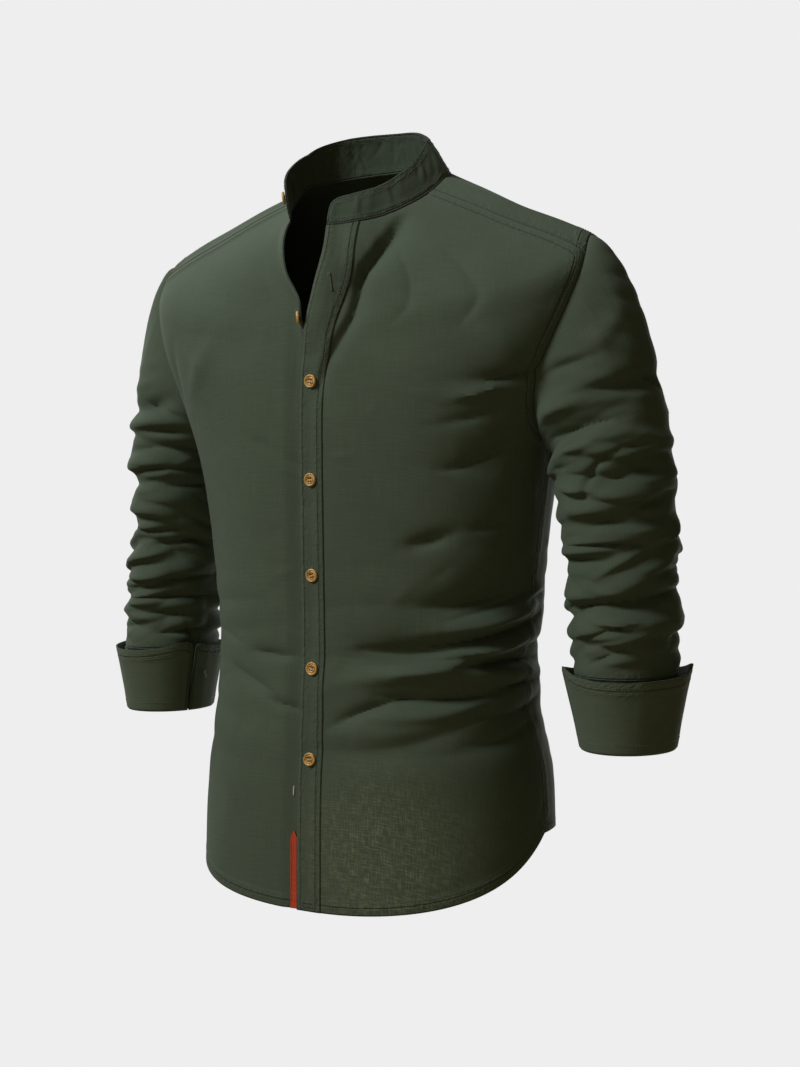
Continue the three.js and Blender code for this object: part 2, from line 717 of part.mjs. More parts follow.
function sleeve(name, side, rolls) {
  const turns = sleeveTurns();
  const cap = steps(CAP_ROWS).map((k) => turns.map((turn) => capPoint(side, turn, k)));
  const tube = steps(TUBE_ROWS).slice(1).map((k) => {
    const z = mix(SLEEVE_TOP, SLEEVE_END, k);
    const tilt = SLEEVE_TOP_TILT * (1 - ease(k * 1.6));
    return turns.map((turn) => tubePoint(side, turn, z, tilt));
  });
  const smooth = [...cap, ...tube];
  const facing = (normals) => normals.map((row) => row.map((n) => n.multiplyScalar(side)));
  const plain = facing(gridNormals(smooth, true));
  const outer = smooth.map((row, r) => row.map((p, c) => {
    const settled = ease(r / 5) * ease((smooth.length - 1 - r) / 2);
    const height = settled * rollHeight(rolls, turns[c], p.z);
    return p.clone().addScaledVector(plain[r][c], height)
      .add(new THREE.Vector3(0, 0, -DROOP * Math.abs(height)));
  }));
  const normals = facing(gridNormals(outer, true));
  normals[0] = normals[0].map((n, c) => {
    const place = armhole(turns[c]);
    const body = normalOf(skin, side * place.phi, place.level);
    const share = 0.5 + 0.5 * Math.cos(turns[c] * DEG);
    return n.multiplyScalar(1 - share).addScaledVector(body, share).normalize();
  });
  normals[outer.length - 1] = turns.map((turn) => {
    const p = tubePoint(side, turn, SLEEVE_END, 0);
    return new THREE.Vector3(p.x - cuffMiddle(side), p.y - CUFF.y, 0).normalize();
  });
  const inner = outer.map((row, r) => row.map((p, c) => p.clone()
    .addScaledVector(normals[r][c], -PANEL_WALL)));
  const mesh = new THREE.Mesh(shellGeometry(outer, inner, true), shirtCloth);
  mesh.name = name;
  return mesh;
}

function cuffMiddle(side) {
  return side > 0 ? CUFF.leftX : -CUFF.rightX;
}

// Cuff: its profile carried round the arm from one side of the slit to the other
function cuff(name, side) {
  const sweep = 360 - 2 * CUFF.slitHalf;
  const shape = (near) => 1 - Math.sqrt(1 - (1 - near) ** 2);
  const rings = steps(CUFF.steps).map((k) => {
    const turn = CUFF.slit + CUFF.slitHalf + sweep * k;
    const fromEnd = Math.min(k, 1 - k) * sweep * DEG * CUFF.round;
    let out = 0;
    let rise = -0.5 * CUFF.corner * shape(Math.min(1, fromEnd / CUFF.corner));
    for (const row of FLAP_EDGE) {
      const gap = ((turn - row.turn + 540) % 360) - 180;
      out += row.out * bell(gap / row.width);
      rise += row.rise * bell(gap / row.width);
    }
    return CUFF_PROFILE.map((p) => new THREE.Vector3(
      cuffMiddle(side) + side * (p.halfX + out * p.flap) * Math.cos(turn * DEG),
      CUFF.y - (p.halfY + out * p.flap) * Math.sin(turn * DEG),
      p.z + rise * p.flap,
    ));
  });
  const mesh = new THREE.Mesh(sweptGeometry(rings), shirtCloth);
  mesh.name = name;
  return mesh;
}

// A closed body from a closed profile at each of a row of places, with flat ends. The profile
// is two layers joined at a fold, so an end is capped by pairing points across each layer.
function sweptGeometry(rings) {
  const count = rings[0].length;
  const points = rings.flat();
  const at = (r, c) => r * count + (c % count);
  const faces = [];
  const quad = (a, b, c, d) => faces.push([a, b, c], [a, c, d]);
  for (let r = 0; r < rings.length - 1; r += 1) {
    for (let c = 0; c < count; c += 1) {
      quad(at(r, c), at(r, c + 1), at(r + 1, c + 1), at(r + 1, c));
    }
  }
  const last = rings.length - 1;
  const cap = (r, flip) => {
    const face = (a, b, c) => faces.push(flip ? [at(r, a), at(r, c), at(r, b)]
      : [at(r, a), at(r, b), at(r, c)]);
    const pairs = [[0, 14], [1, 13], [2, 12], [3, 12], [4, 11], [5, 10], [6, 9], [7, 8]];
    for (let i = 0; i < pairs.length - 1; i += 1) {
      const [a, d] = pairs[i];
      const [b, c] = pairs[i + 1];
      face(a, c, b);
      if (c !== d) face(a, d, c);
    }
  };
  cap(0, false);
  cap(last, true);
  return closedGeometry(points, faces);
}

// A lathe-turned disc with a raised rim and four holes through it
const wasm = await Module();
wasm.setup();

function solidOf(geometry) {
  const bare = geometry.clone();
  bare.deleteAttribute('normal');
  bare.deleteAttribute('uv');
  const merged = mergeVertices(bare, 1e-4);
  return new wasm.Manifold(new wasm.Mesh({
    numProp: 3,
    vertProperties: new Float32Array(merged.attributes.position.array),
    triVerts: new Uint32Array(merged.index.array),
  }));
}

function geometryOf(solid) {
  const mesh = solid.getMesh();
  const geometry = new THREE.BufferGeometry();
  geometry.setAttribute('position', new THREE.BufferAttribute(mesh.vertProperties, 3));
  geometry.setIndex(new THREE.BufferAttribute(mesh.triVerts, 1));
  geometry.computeVertexNormals();
  return geometry;
}

function buttonGeometry() {
  const { radius, thick, rim, rimWidth, hole, holeSpread } = BUTTON;
  const profile = [
    [0, 0],
    [radius - 0.8, 0],
    [radius, 0.9],
    [radius, thick - 0.5],
    [radius - 0.5 * rimWidth, thick],
    [radius - rimWidth, thick - rim],
    [0, thick - rim],
  ].map(([r, y]) => new THREE.Vector2(r, y));
  const disc = new THREE.LatheGeometry(profile, BUTTON_SIDES);
  let solid = solidOf(disc);
  for (const [x, z] of [[1, 1], [1, -1], [-1, 1], [-1, -1]]) {
    const pin = new THREE.CylinderGeometry(hole, hole, 3 * thick, HOLE_SIDES);
    pin.translate(x * holeSpread, 0.5 * thick, z * holeSpread);
    solid = solid.subtract(solidOf(pin));
  }
  return geometryOf(solid);
}

const sharedButton = buttonGeometry();

// Seats a button on a point of cloth, its back just clear of it
function button(name, point, normal, clear) {
  const mesh = new THREE.Mesh(sharedButton, wood);
  mesh.name = name;
  mesh.position.copy(point).addScaledVector(normal, clear);
  mesh.quaternion.setFromUnitVectors(new THREE.Vector3(0, 1, 0), normal);
  return mesh;
}

// The level whose height at the front is so far below the origin
function levelAtDrop(drop) {
  let low = NECK_LEVEL;
  let high = HEM_LEVEL;
  for (let i = 0; i < 40; i += 1) {
    const middle = 0.5 * (low + high);
    if (dropAt(middle) < drop) low = middle;
    else high = middle;
  }
  return 0.5 * (low + high);
}

function buttons() {
  const meshes = CLOSED_BUTTON_DROPS.map((drop, i) => {
    const level = levelAtDrop(drop);
    const phi = phiAt(0.5, level);
    const normal = normalOf(skin, phi, level);
    return button(`button_${i + 3}`, skin(phi, level), normal, BUTTON_CLEARANCE.flat);
  });
  const level = levelAtDrop(STAND_BUTTON.drop);
  const free = column(RIGHT_EDGE, 'drop', 'free', STAND_BUTTON.drop);
  const phi = phiAt(free - STAND_BUTTON.inset, level);
  const normal = normalOf(underSkin, phi, level);
  meshes.push(button('button_2', underSkin(phi, level), normal, BUTTON_CLEARANCE.curved));
  meshes.push(collarButton());
  return meshes;
}

function collarButton() {
  const phi = edgePhi(RIGHT_EDGE, 'free', NECK_LEVEL) + 360;
  const at = (a, b) => collarPoint(phi - a / (LEVELS[0].half * DEG), b);
  const { inset, share } = COLLAR_BUTTON;
  const across = at(inset + 2, share).sub(at(inset - 2, share));
  const up = at(inset, share + 0.1).sub(at(inset, share - 0.1));
  const normal = up.cross(across).normalize();
  const point = at(inset, share);
  if (normal.dot(new THREE.Vector3(point.x, point.y, 0)) < 0) normal.negate();
  return button('button_1', point, normal, BUTTON_CLEARANCE.flat);
}

// Red tape on the right front beside the placket, pointed at its top
function tape() {
  const start = levelAtDrop(TAPE.topDrop);
  const outer = [];
  const inner = [];
  for (const k of steps(5)) {
    const level = mix(start, HEM_LEVEL, k);
    const fill = Math.min(1, 0.12 + k * 5 * 0.88);
    const middle = 0.5 * (TAPE.left + TAPE.right);
    const half = 0.5 * (TAPE.left - TAPE.right) * fill;
    const row = [middle + half, middle - half].map((x) => {
      const phi = phiAt(x, level);
      return { point: underSkin(phi, level), normal: normalOf(underSkin, phi, level) };
    });
    outer.push(row.map(({ point, normal }) =>
      point.clone().addScaledVector(normal, TAPE.clear + TAPE.wall)));
    inner.push(row.map(({ point, normal }) => point.clone().addScaledVector(normal, TAPE.clear)));
  }
  const mesh = new THREE.Mesh(shellGeometry(outer, inner, false), tapeCloth);
  mesh.name = 'hem_tape';
  return mesh;
}

// Plain label inside the back neck, under the collar seam
function label() {
  const outer = [];
  const inner = [];
  for (const k of steps(1)) {
    const level = NECK_LEVEL + mix(LABEL.top, LABEL.bottom, k);
    const row = steps(4).map((j) => {
      const phi = 180 - Math.asin(mix(-LABEL.half, LABEL.half, j)
        / column(LEVELS, 'level', 'half', level)) / DEG;
      return { point: bodySkin(phi, level), normal: normalOf(bodySkin, phi, level) };
    });
    const depth = PANEL_WALL + LABEL.clear;
    outer.push(row.map(({ point, normal }) => point.clone().addScaledVector(normal, -depth)));
    inner.push(row.map(({ point, normal }) =>
      point.clone().addScaledVector(normal, -depth - LABEL.wall)));
  }
  const mesh = new THREE.Mesh(shellGeometry(outer, inner, false), labelCloth);
  mesh.name = 'neck_label';
  return mesh;
}

const shirt = new THREE.Group();
shirt.add(
  leftFront(),
  rightFront(),
  backPanel(),
  yoke(),
  frontStrip('placket_left', LEFT_EDGE, PLACKET_COLUMNS, skin),
  frontStrip('button_stand_right', RIGHT_EDGE, STAND_COLUMNS, underSkin),
  collar(),
  sleeve('sleeve_left', 1, LEFT_ROLLS),
  sleeve('sleeve_right', -1, RIGHT_ROLLS),
  cuff('cuff_left', 1),
  cuff('cuff_right', -1),
  tape(),
  label(),
  ...buttons(),
);

export default shirt;
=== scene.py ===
"""The looks of a mandarin collar shirt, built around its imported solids.

Shapes are worked out in millimetres in the row frame, +Z up, and the shirt faces -Y.
"""
import math

import bpy
import numpy as np
from mathutils import Matrix, Vector


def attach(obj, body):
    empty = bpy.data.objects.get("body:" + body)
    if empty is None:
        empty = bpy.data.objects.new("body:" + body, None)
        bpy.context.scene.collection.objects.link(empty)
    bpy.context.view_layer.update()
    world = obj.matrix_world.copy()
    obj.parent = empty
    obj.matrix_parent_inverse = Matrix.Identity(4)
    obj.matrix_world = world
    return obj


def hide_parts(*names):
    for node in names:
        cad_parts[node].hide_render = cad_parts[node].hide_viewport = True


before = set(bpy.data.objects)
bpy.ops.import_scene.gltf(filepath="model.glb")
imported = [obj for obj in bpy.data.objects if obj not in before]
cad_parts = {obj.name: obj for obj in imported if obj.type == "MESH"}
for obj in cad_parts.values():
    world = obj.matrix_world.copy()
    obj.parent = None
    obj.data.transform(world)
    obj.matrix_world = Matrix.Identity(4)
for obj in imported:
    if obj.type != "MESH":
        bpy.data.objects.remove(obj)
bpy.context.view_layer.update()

MM = 0.001
DEG = math.pi / 180

# Cloth as it is cut, and how far one layer stands over the one it is sewn to
CLOTH = 0.9
BAND = 1.5
LAP = 0.7
SEED = 11

NECK_LEVEL = -4
PIT_LEVEL = 247
HEM_LEVEL = 630


def columns(names, rows):
    """Named columns, one array each."""
    return dict(zip(names.split(), np.array(rows, float).T))


def table(text):
    """Named columns from lines of text, the first of which has the names."""
    names, *rows = text.strip().splitlines()
    return columns(names, [row.split() for row in rows])


# Body sections, as in the part's solids
LEVELS = table("""
level half middle front back frontZ backZ square rightLift dip
-4 82 -5 96 58 -50 28 0 5 1.2
14 126 -10 102 76 -74 10 0.02 8 1.5
35 173 -15 107 92 -99 -15 0.04 9 2
54 218 -19 110 101 -121 -40 0.05 9 2
68 243 -21 113 106 -140 -60 0.06 8 2
95 246 -21 115 113 -163 -95 0.06 6 2
130 237 -19 118 119 -190 -135 0.06 3 2
185 217 -15 120 123 -228 -190 0.05 0 2
247 198 -9 120 122 -268 -249 0.05 0 2
300 188 -3 119 119 -308 -301 0.05 0 2
380 177 0 117 115 -380 -380 0.05 0 2
450 170.5 0 116 116 -450 -450 0.05 0 2
520 174 0 120 119 -523 -525 0.05 0 3
575 185.5 0 124 119 -605 -610 0.05 -5 4
630 189 0 125 117 -703 -712 0.05 -12 4
""")
LEVEL_BOW = 0.3
NECK_CENTRE = np.array([0, LEVELS["middle"][0], 0])
ARMHOLE = {"top": 68, "front": 24, "back": 22, "shoulder": 25, "yoke": -55}
SHOULDER_SEAM_NECK = 77
YOKE_BACK_LEVEL = 80
YOKE_NECK_CORNER = 112
ARMHOLE_MM_PER_DEGREE = 2.0

LEFT_EDGE = table("""
drop free seam
50 4 35
74 6 36
93 4 36
112 0 33
141 -6 26
170 -10 19.5
200 -12.7 14.3
720 -12.7 14.3
""")
RIGHT_EDGE = table("""
drop free seam
50 -52 -70
75 -42 -70.5
95 -32 -65
112 -20 -56
125 -11.5 -47.5
140 -8 -38.5
150 -9 -32.5
165 0 -24.5
190 10 -16.5
215 13 -14
720 13 -14
""")
RIGHT_CURL = table("""
drop height width
50 4 14
70 8 13
88 12 12
104 16 10
121 17 9
140 16 8
148 2.5 8
156 0 8
720 0 8
""")
CURL_PAST = 0.6
UNDERLAP = {"depth": 3.6, "from": -34, "to": -15}

FOLD_RADIUS = 150
# The main folds are those of the solids
BODY_FOLDS = table("""
phi level phiEnd levelEnd width height bow
4 -4 1 112 15 9 0
46 2 12 36 10 -6 -6
20 20 4 100 8 -6 -11
72 172 37 160 9 -3 0
54 180 36 171 10 3 0
78 240 44 255 30 -5 0
62 275 36 268 14 -3 0
50 335 31 352 9 -3 0
90 380 35 423 20 -6 0
104 398 40 434 10 7 -4
62 447 10 458 9 -6 4
112 438 6 488 10 7 -6
116 468 48 466 11 -8 -5
116 480 40 474 8 4 -4
70 492 4 538 9 -7 14
70 502 12 528 11 4 8
112 508 50 527 12 -5 0
-38 477 -15 506 7 -2.5 0
-27 459 -5 462 7 -2 0
-62 560 -35 580 22 -3 0
-70 400 -110 430 16 4 0
112 415 165 455 18 6 10
118 445 172 482 15 -6 8
124 470 168 506 14 5 4
114 520 160 556 18 -4 -6
-110 425 -162 463 18 6 -8
-114 460 -170 494 15 -6 -8
-120 488 -164 520 14 4 -4
-106 530 -156 562 18 -4 6
122 200 150 320 24 -5 8
-122 200 -150 320 24 -5 -8
140 190 156 300 18 4 6
-140 190 -156 300 18 4 -6
""")
# Narrow creases, which only the looks have
BODY_CREASES = table("""
phi level phiEnd levelEnd width height bow
33 20 20 78 3.5 -1.2 2
46 34 36 92 5 -1.2 0
70 172 44 166 5 -2.4 0
52 178 38 182 6 1.6 0
66 250 41 273 5 -2.2 0
58 205 36 214 8 -1.8 0
94 396 46 424 4.5 -3.2 -2
80 396 36 412 8 -3.4 0
16 453 52 449 7 -3.8 0
86 454 54 461 5 -3.4 0
44 436 72 424 6 2 0
26 472 56 463 7 2.4 0
30 357 44 345 6 -1.6 0
104 422 18 450 4 -4.2 3
96 412 58 428 5 2.6 0
84 446 40 456 5 2.6 0
116 450 76 452 4 -3.2 0
116 466 50 466 4 -4 -4
60 455 22 463 4 -2.4 2
104 486 66 489 4 -3.4 -2
70 490 24 494 5 -4.6 3
36 492 8 521 5 -3.8 -3
64 500 20 512 6 2.4 3
108 500 60 512 5 -2.4 4
96 522 52 534 5 -2 3
-16 505 -4 511 3.5 -1.8 0
-25 459 -9 461 3.5 -1.8 0
-36 477 -18 496 3.5 -2 0
-52 440 -34 452 5 -1.6 0
30 351 44 340 4 -1.6 0
52 337 72 326 5 -1.8 0
84 408 112 400 4 -2.4 0
-30 90 -44 170 8 1.2 3
-48 110 -58 190 8 -1.6 0
40 96 56 160 8 1.2 0
-84 430 -106 446 5 -2.4 0
-80 470 -112 480 5 -2.6 0
-70 500 -108 520 5 -2.2 0
130 380 168 404 5 -2.6 5
-130 384 -168 410 5 -2.6 -5
128 440 176 462 5 -3 5
-128 446 -174 470 5 -3 -5
120 478 165 500 5 -2.8 4
-122 482 -160 506 5 -2.6 -4
110 190 132 262 6 -2.4 5
-110 190 -132 262 6 -2.4 -5
""")
# The line of the deep trough from under the collar to the placket
NECK_TROUGH = table("""
phi level depth near far
54 0 1 3 6
46.5 2 5 3 8
39.5 5.5 8 2.6 9
28.5 13 10 2.6 9
21.6 21 11 2.6 9
16 30 11 2.6 8
12.3 43 10.5 2.6 8
10.5 57 9.5 2.6 7
8.8 71 8 2.6 6.5
6.6 92 6.5 3 6
4.2 118 4.5 3.5 5
3 142 3 3 4
1.8 166 0.5 3 4
""")
# Folds of the sleeves, by turn round the arm and by height
LEFT_PLEATS = table("""
phi level phiEnd levelEnd width height bow
146 -224 57 -182 3.4 -5.5 3
140 -214 62 -172 7 2.4 3
58 -176 21 -139 7 2 0
30 -188 -24 -214 6 -2.4 3
91 -217 -13 -196 5 -3 0
144 -235 12 -216 6 2.6 2
144 -260 46 -236 4 -3.4 0
140 -273 53 -250 5 2.6 0
53 -249 -29 -253 5 2.2 0
96 -306 58 -266 4 -3.2 5
64 -267 20 -256 4 -2.6 0
134 -300 79 -302 4 2 0
79 -302 -14 -284 5 2.4 2
102 -338 -6 -302 5 -2.6 0
128 -341 -20 -329 4.5 2.6 0
132 -352 44 -351 3 -4 0
92 -379 44 -354 4 2.6 0
48 -356 -14 -332 4 2.4 0
145 -411 60 -402 3.5 -4.2 0
60 -402 -34 -393 4 -3.2 0
140 -424 -22 -415 5 3.2 2
126 -440 50 -418 3.5 -3.4 0
122 -452 39 -427 4 2.4 0
110 -462 66 -446 3 -2.6 0
20 -440 -40 -432 4 -2.4 0
30 -380 -30 -372 4 -2.8 0
-60 -240 -150 -252 5 -3.2 3
-50 -286 -140 -276 4 -3.4 -3
-40 -318 -130 -328 5 -3.2 3
-70 -352 -160 -346 4 -3.4 0
-40 -388 -140 -392 4 -3.6 -3
-60 -420 -150 -428 4 -3.2 3
""")
RIGHT_PLEATS = table("""
phi level phiEnd levelEnd width height bow
60 -206 150 -232 4 -3.4 3
70 -238 165 -240 3.5 -4 2
110 -256 178 -262 3.5 -3.6 0
52 -262 110 -256 4 -2.6 0
60 -284 178 -281 4 -3.6 -3
120 -298 190 -296 3 -3 0
48 -302 112 -298 5 2.4 0
44 -342 150 -345 4 -4 3
100 -361 196 -357 4 -4 -2
60 -374 130 -366 5 2.4 0
40 -396 128 -399 3.5 -4.2 2
118 -400 196 -394 3.5 -3.6 0
50 -420 190 -418 3 -4 -2
70 -433 150 -436 3.5 -3.2 0
40 -452 96 -446 4 -2.6 0
110 -458 180 -452 3 -2.8 0
150 -445 164 -470 3 -2.4 0
-60 -244 -150 -250 5 -3.2 -3
-50 -282 -140 -290 4 -3.4 3
-40 -324 -130 -316 5 -3.2 -3
-70 -356 -160 -350 4 -3.4 0
-40 -384 -140 -394 4 -3.6 3
-60 -424 -150 -418 4 -3.2 -3
""")
ARM_RADIUS = 54
CREASE_GAIN = 2.3
PLEAT_GAIN = 2.0
SMALL_CREASES = 150
BODY_WAVE = 62
SLEEVE_WAVE = 42

SLEEVE_SECTIONS = table("""
z leftX rightX y leftHalf rightHalf halfY
-270 258 248 -5 52 47.5 61
-300 261.5 249 -2 52.5 46.5 61
-335 265.5 253 1 52.5 46.5 59
-375 267.5 258 3 51.5 47 58
-415 269.7 263.7 3 49.7 47.2 57
-455 270 268 3 47.5 47 56
-474 271 270 3 46.5 46.5 56
""")
SLEEVE_TOP = -270
SLEEVE_END = -473.7
SLEEVE_TOP_TILT = 20
CAP_START = 0.5
CAP_END = 0.75
CAP_LEAN = 1.55
DROOP = 0.5

LEFT_ROLLS = table("""
z turn spread tilt width height
-165 75 40 -70 10 4
-196 100 50 -62 8 -5
-212 30 80 -14 12 -6
-232 120 90 -26 9 6
-252 105 80 -26 9 -6
-262 30 80 -8 9 6
-282 150 60 -18 8 6
-290 55 60 -24 10 -6
-306 60 110 -14 9 6
-330 40 80 -6 13 -5
-350 90 110 -8 9 6
-366 120 60 0 8 -5
-376 45 60 -28 9 6
-398 130 60 -8 9 5
-408 70 110 -8 10 -6
-426 60 120 -4 8 7
-444 100 60 -20 8 -4
-456 70 80 -16 8 3
-215 -90 70 16 12 -5
-240 -110 90 12 10 6
-268 -90 80 -10 10 -5
-292 -110 90 8 10 6
-322 -90 90 -8 12 -5
-350 -120 80 10 10 6
-378 -90 90 6 10 -5
-404 -100 90 -8 10 6
-430 -110 80 6 9 -4
""")
RIGHT_ROLLS = table("""
z turn spread tilt width height
-196 110 60 30 10 -5
-214 60 90 6 9 -6
-232 40 90 4 10 6
-252 90 110 -14 9 -6
-272 60 110 -6 12 6
-296 70 100 4 9 -5
-316 40 100 0 12 6
-338 60 90 4 8 -5
-352 40 90 14 8 5
-366 110 90 -6 12 -7
-382 30 80 16 8 6
-396 90 110 10 9 6
-410 80 100 14 8 -6
-428 40 90 14 9 5
-444 110 60 14 9 -4
-215 -90 70 12 12 -5
-243 -110 90 -10 10 6
-272 -90 80 8 10 -5
-298 -110 90 -8 10 6
-326 -90 90 8 12 -5
-352 -120 80 -8 10 6
-380 -90 90 -4 10 -5
-407 -100 90 8 10 6
-434 -110 80 -6 9 -4
""")

CUFF = {"leftX": 273, "rightX": 272, "y": 3, "slit": 158, "slitHalf": 1, "round": 60, "corner": 9}
CUFF_PROFILE = table("""
z halfX halfY flap
-474 44 54 0
-505 42 51.5 0
-534 40.7 49.7 0
-539 41.1 50.1 0
-541 42.5 51.5 0
-539 44.1 53.1 0
-534 45 54 0.04
-520 47 56.3 0.25
-496 51.6 61 0.6
-471 57 66 1
-471 55.4 64.4 1
-496 50 59.4 0.6
-520 45.4 54.7 0.25
-532 43.2 52.2 0.05
-532 42.5 51.5 0
-505 43.6 53.1 0
-474 45.6 55.6 0
""")
FLAP_EDGE = table("""
turn out rise width
-28 1 8 24
150 3 6 22
75 -2 -3 40
""")

COLLAR_SHAPE = table("""
phi lean height
0 9 28
30 9 31
60 15 35.5
90 22 38.5
135 22 37
180 10 40
225 5 44
252 2.5 43
270 1 40.2
285 -1.5 40.6
300 -4 40
325 -6 36
""")
COLLAR_CORNER = 15
COLLAR_CORNER_CUT = 0.36
COLLAR_BULGE = 1.2
COLLAR_WALL = 1.9
COLLAR_ROWS = 18
# The top edge is evened out over this reach and sigma in columns, round this phi and width
COLLAR_EVEN = (54, 20.0, 268, 26)
# Count, phi, slope, width, height, middle and reach of random creases, and how sharp they are
COLLAR_CREASES = (
    (46, (5, 330), 9, (1.6, 4.5), (0.4, 1.1), (0.2, 0.8), (0.2, 0.6), 2),
    (110, (110, 250), 30, (0.8, 2.0), (0.25, 0.75), (0.15, 0.85), (0.12, 0.4), 1.3),
)

# How far the rows of stitches lie inside their seams and edges
ARM_STITCH = 8.5
HEM_STITCH = 7.0
YOKE_STITCH = 2.5
COLLAR_STITCH = 2.2
SIDE_STITCHES = (2.0, 8.0)
CUFF_STITCHES = (2.0, 8.0)
# The way down along the cloth's grain, on the front and the back
FRONT_FALL = (0, -0.5, -0.87)
BACK_FALL = (0, 0.3, -0.95)

# Radius and height of the turned face and its edge: a raised rim, a groove and an inner ring
BUTTON_PROFILE = ((2.7, 1.7), (3.0, 2.1), (3.35, 2.5), (3.7, 2.1), (4.0, 1.6), (4.5, 1.6),
                  (4.8, 2.3), (5.3, 2.8), (5.8, 2.75), (6.2, 2.3), (6.4, 1.8), (6.4, 1.0),
                  (6.2, 0.45), (5.6, 0.1), (4.6, 0.0))
BUTTON_TURNS = (0, 10, -8, 5, 18, -12, 8)
CLOSED_BUTTON_DROPS = (199, 292, 383, 472, 558)
HOLE_SPREAD = 1.5
HOLE_RADIUS = 0.75
HOLE_HALF = 8.2
TACK = {"x": -19.5, "drop": 590}
CROSS_TURN = 175
CROSS_ROW = 7.8
CROSS_PLACES = ((0, 0), (1.5, -4))
TAPE = {"left": -14.6, "right": -21.6, "topDrop": 628, "lift": 1.5}

VIEW = {"azimuth": 31, "rise": 1.5, "aside": 23.3, "height": -345.8, "distance": 1550.0,
        "sensor": 36.0, "focalPx": 1525.0, "framePx": 1067.0}
# Square lights: metres towards the camera, to image right and up, size, watts and colour
LIGHTS = (
    ("key", 1.1, -2.2, 2.0, 0.8, 70, (0.95, 1.0, 1.02)),
    ("fill", 2.4, -0.7, -1.0, 2.0, 8, (1.0, 0.86, 0.55)),
    ("top", -0.2, -0.4, 2.4, 1.0, 10, (0.97, 1.0, 0.97)),
    ("rear left", -2.0, -1.6, 1.0, 1.6, 26, (1, 1, 1)),
    ("rear right", -2.4, 1.2, -0.1, 1.6, 36, (1, 1, 1)),
)

def mix(a, b, k):
    return a + (b - a) * k


def bell(x):
    return np.exp(-np.square(x))


def ease(x):
    k = np.clip(x, 0, 1)
    return k * k * (3 - 2 * k)


def unit(v):
    return v / np.maximum(np.linalg.norm(v, axis=-1, keepdims=True), 1e-9)


def steps(n):
    return np.linspace(0, 1, n + 1)


def rows_of(data):
    """Each row of a table, by its names."""
    return [dict(zip(data, row)) for row in zip(*data.values())]


def column(data, name, at):
    """The smooth value of one column of a table, at places along its first column."""
    x, y = next(iter(data.values())), data[name]
    if x[-1] < x[0]:
        x, y = x[::-1], y[::-1]
    step = np.diff(y) / np.diff(x)
    slope = np.concatenate([step[:1], (y[2:] - y[:-2]) / (x[2:] - x[:-2]), step[-1:]])
    at = np.clip(np.asarray(at, float), x[0], x[-1])
    i = np.clip(np.searchsorted(x, at, side="right") - 1, 0, len(x) - 2)
    span = x[i + 1] - x[i]
    k = (at - x[i]) / span
    start = y[i] * (1 + 2 * k) * (1 - k) ** 2 + span * slope[i] * k * (1 - k) ** 2
    end = y[i + 1] * k * k * (3 - 2 * k) + span * slope[i + 1] * k * k * (k - 1)
    return start + end


# ---------------------------------------------------------------- body form and folds

def both(phi, level):
    return np.broadcast_arrays(np.asarray(phi, float), np.asarray(level, float))


def form(phi, level):
    """The smooth body form, phi degrees round from the centre front at a level."""
    phi, level = both(phi, level)
    at = {name: column(LEVELS, name, level) for name in list(LEVELS)[1:]}
    side, ahead = np.sin(phi * DEG), np.cos(phi * DEG)
    corner = 1 + at["square"] * np.sin(2 * phi * DEG) ** 2
    reach = np.where(ahead > 0, at["front"] + at["middle"], at["back"] - at["middle"])
    front_z = mix(-level, at["frontZ"], ahead * (1 + LEVEL_BOW * (1 - ahead)))
    back_z = mix(-level, at["backZ"], np.abs(ahead) ** at["dip"])
    z = np.where(ahead > 0, front_z, back_z) + at["rightLift"] * np.maximum(0, -side) ** 1.5
    y = at["middle"] - reach * ahead * corner
    return np.stack([at["half"] * side * corner, y, z], -1)


def outward(phi, level):
    """The smooth form's outward direction."""
    across = form(phi + 0.4, level) - form(phi - 0.4, level)
    down = form(phi, level + 0.8) - form(phi, level - 0.8)
    return -unit(np.cross(across, down))


def gap_between(turn, other):
    return (turn - other + 540) % 360 - 180


def relief(folds, phi, level, radius=FOLD_RADIUS, sharp=1.5):
    """The height of a table of folds: ridges are round, and troughs narrow to their line."""
    height = np.zeros(np.broadcast(phi, level).shape)
    for fold in rows_of(folds):
        x = gap_between(phi, fold["phi"]) * DEG * radius
        y = level - fold["level"]
        end_x = (fold["phiEnd"] - fold["phi"]) * DEG * radius
        end_y = fold["levelEnd"] - fold["level"]
        length = math.hypot(end_x, end_y)
        along = (x * end_x + y * end_y) / length**2
        aside = (x * end_y - y * end_x) / length
        inside = np.clip(along, 0, 1)
        past = (along - inside) * length
        off = aside - 4 * fold["bow"] * inside * (1 - inside)
        taper = 0.25 + 0.75 * np.sin(np.pi * inside)
        power = 2 if fold["height"] > 0 else sharp
        height += (fold["height"] * taper * np.exp(-np.abs(off / fold["width"]) ** power)
                   * bell(past / (1.5 * fold["width"])))
    return height


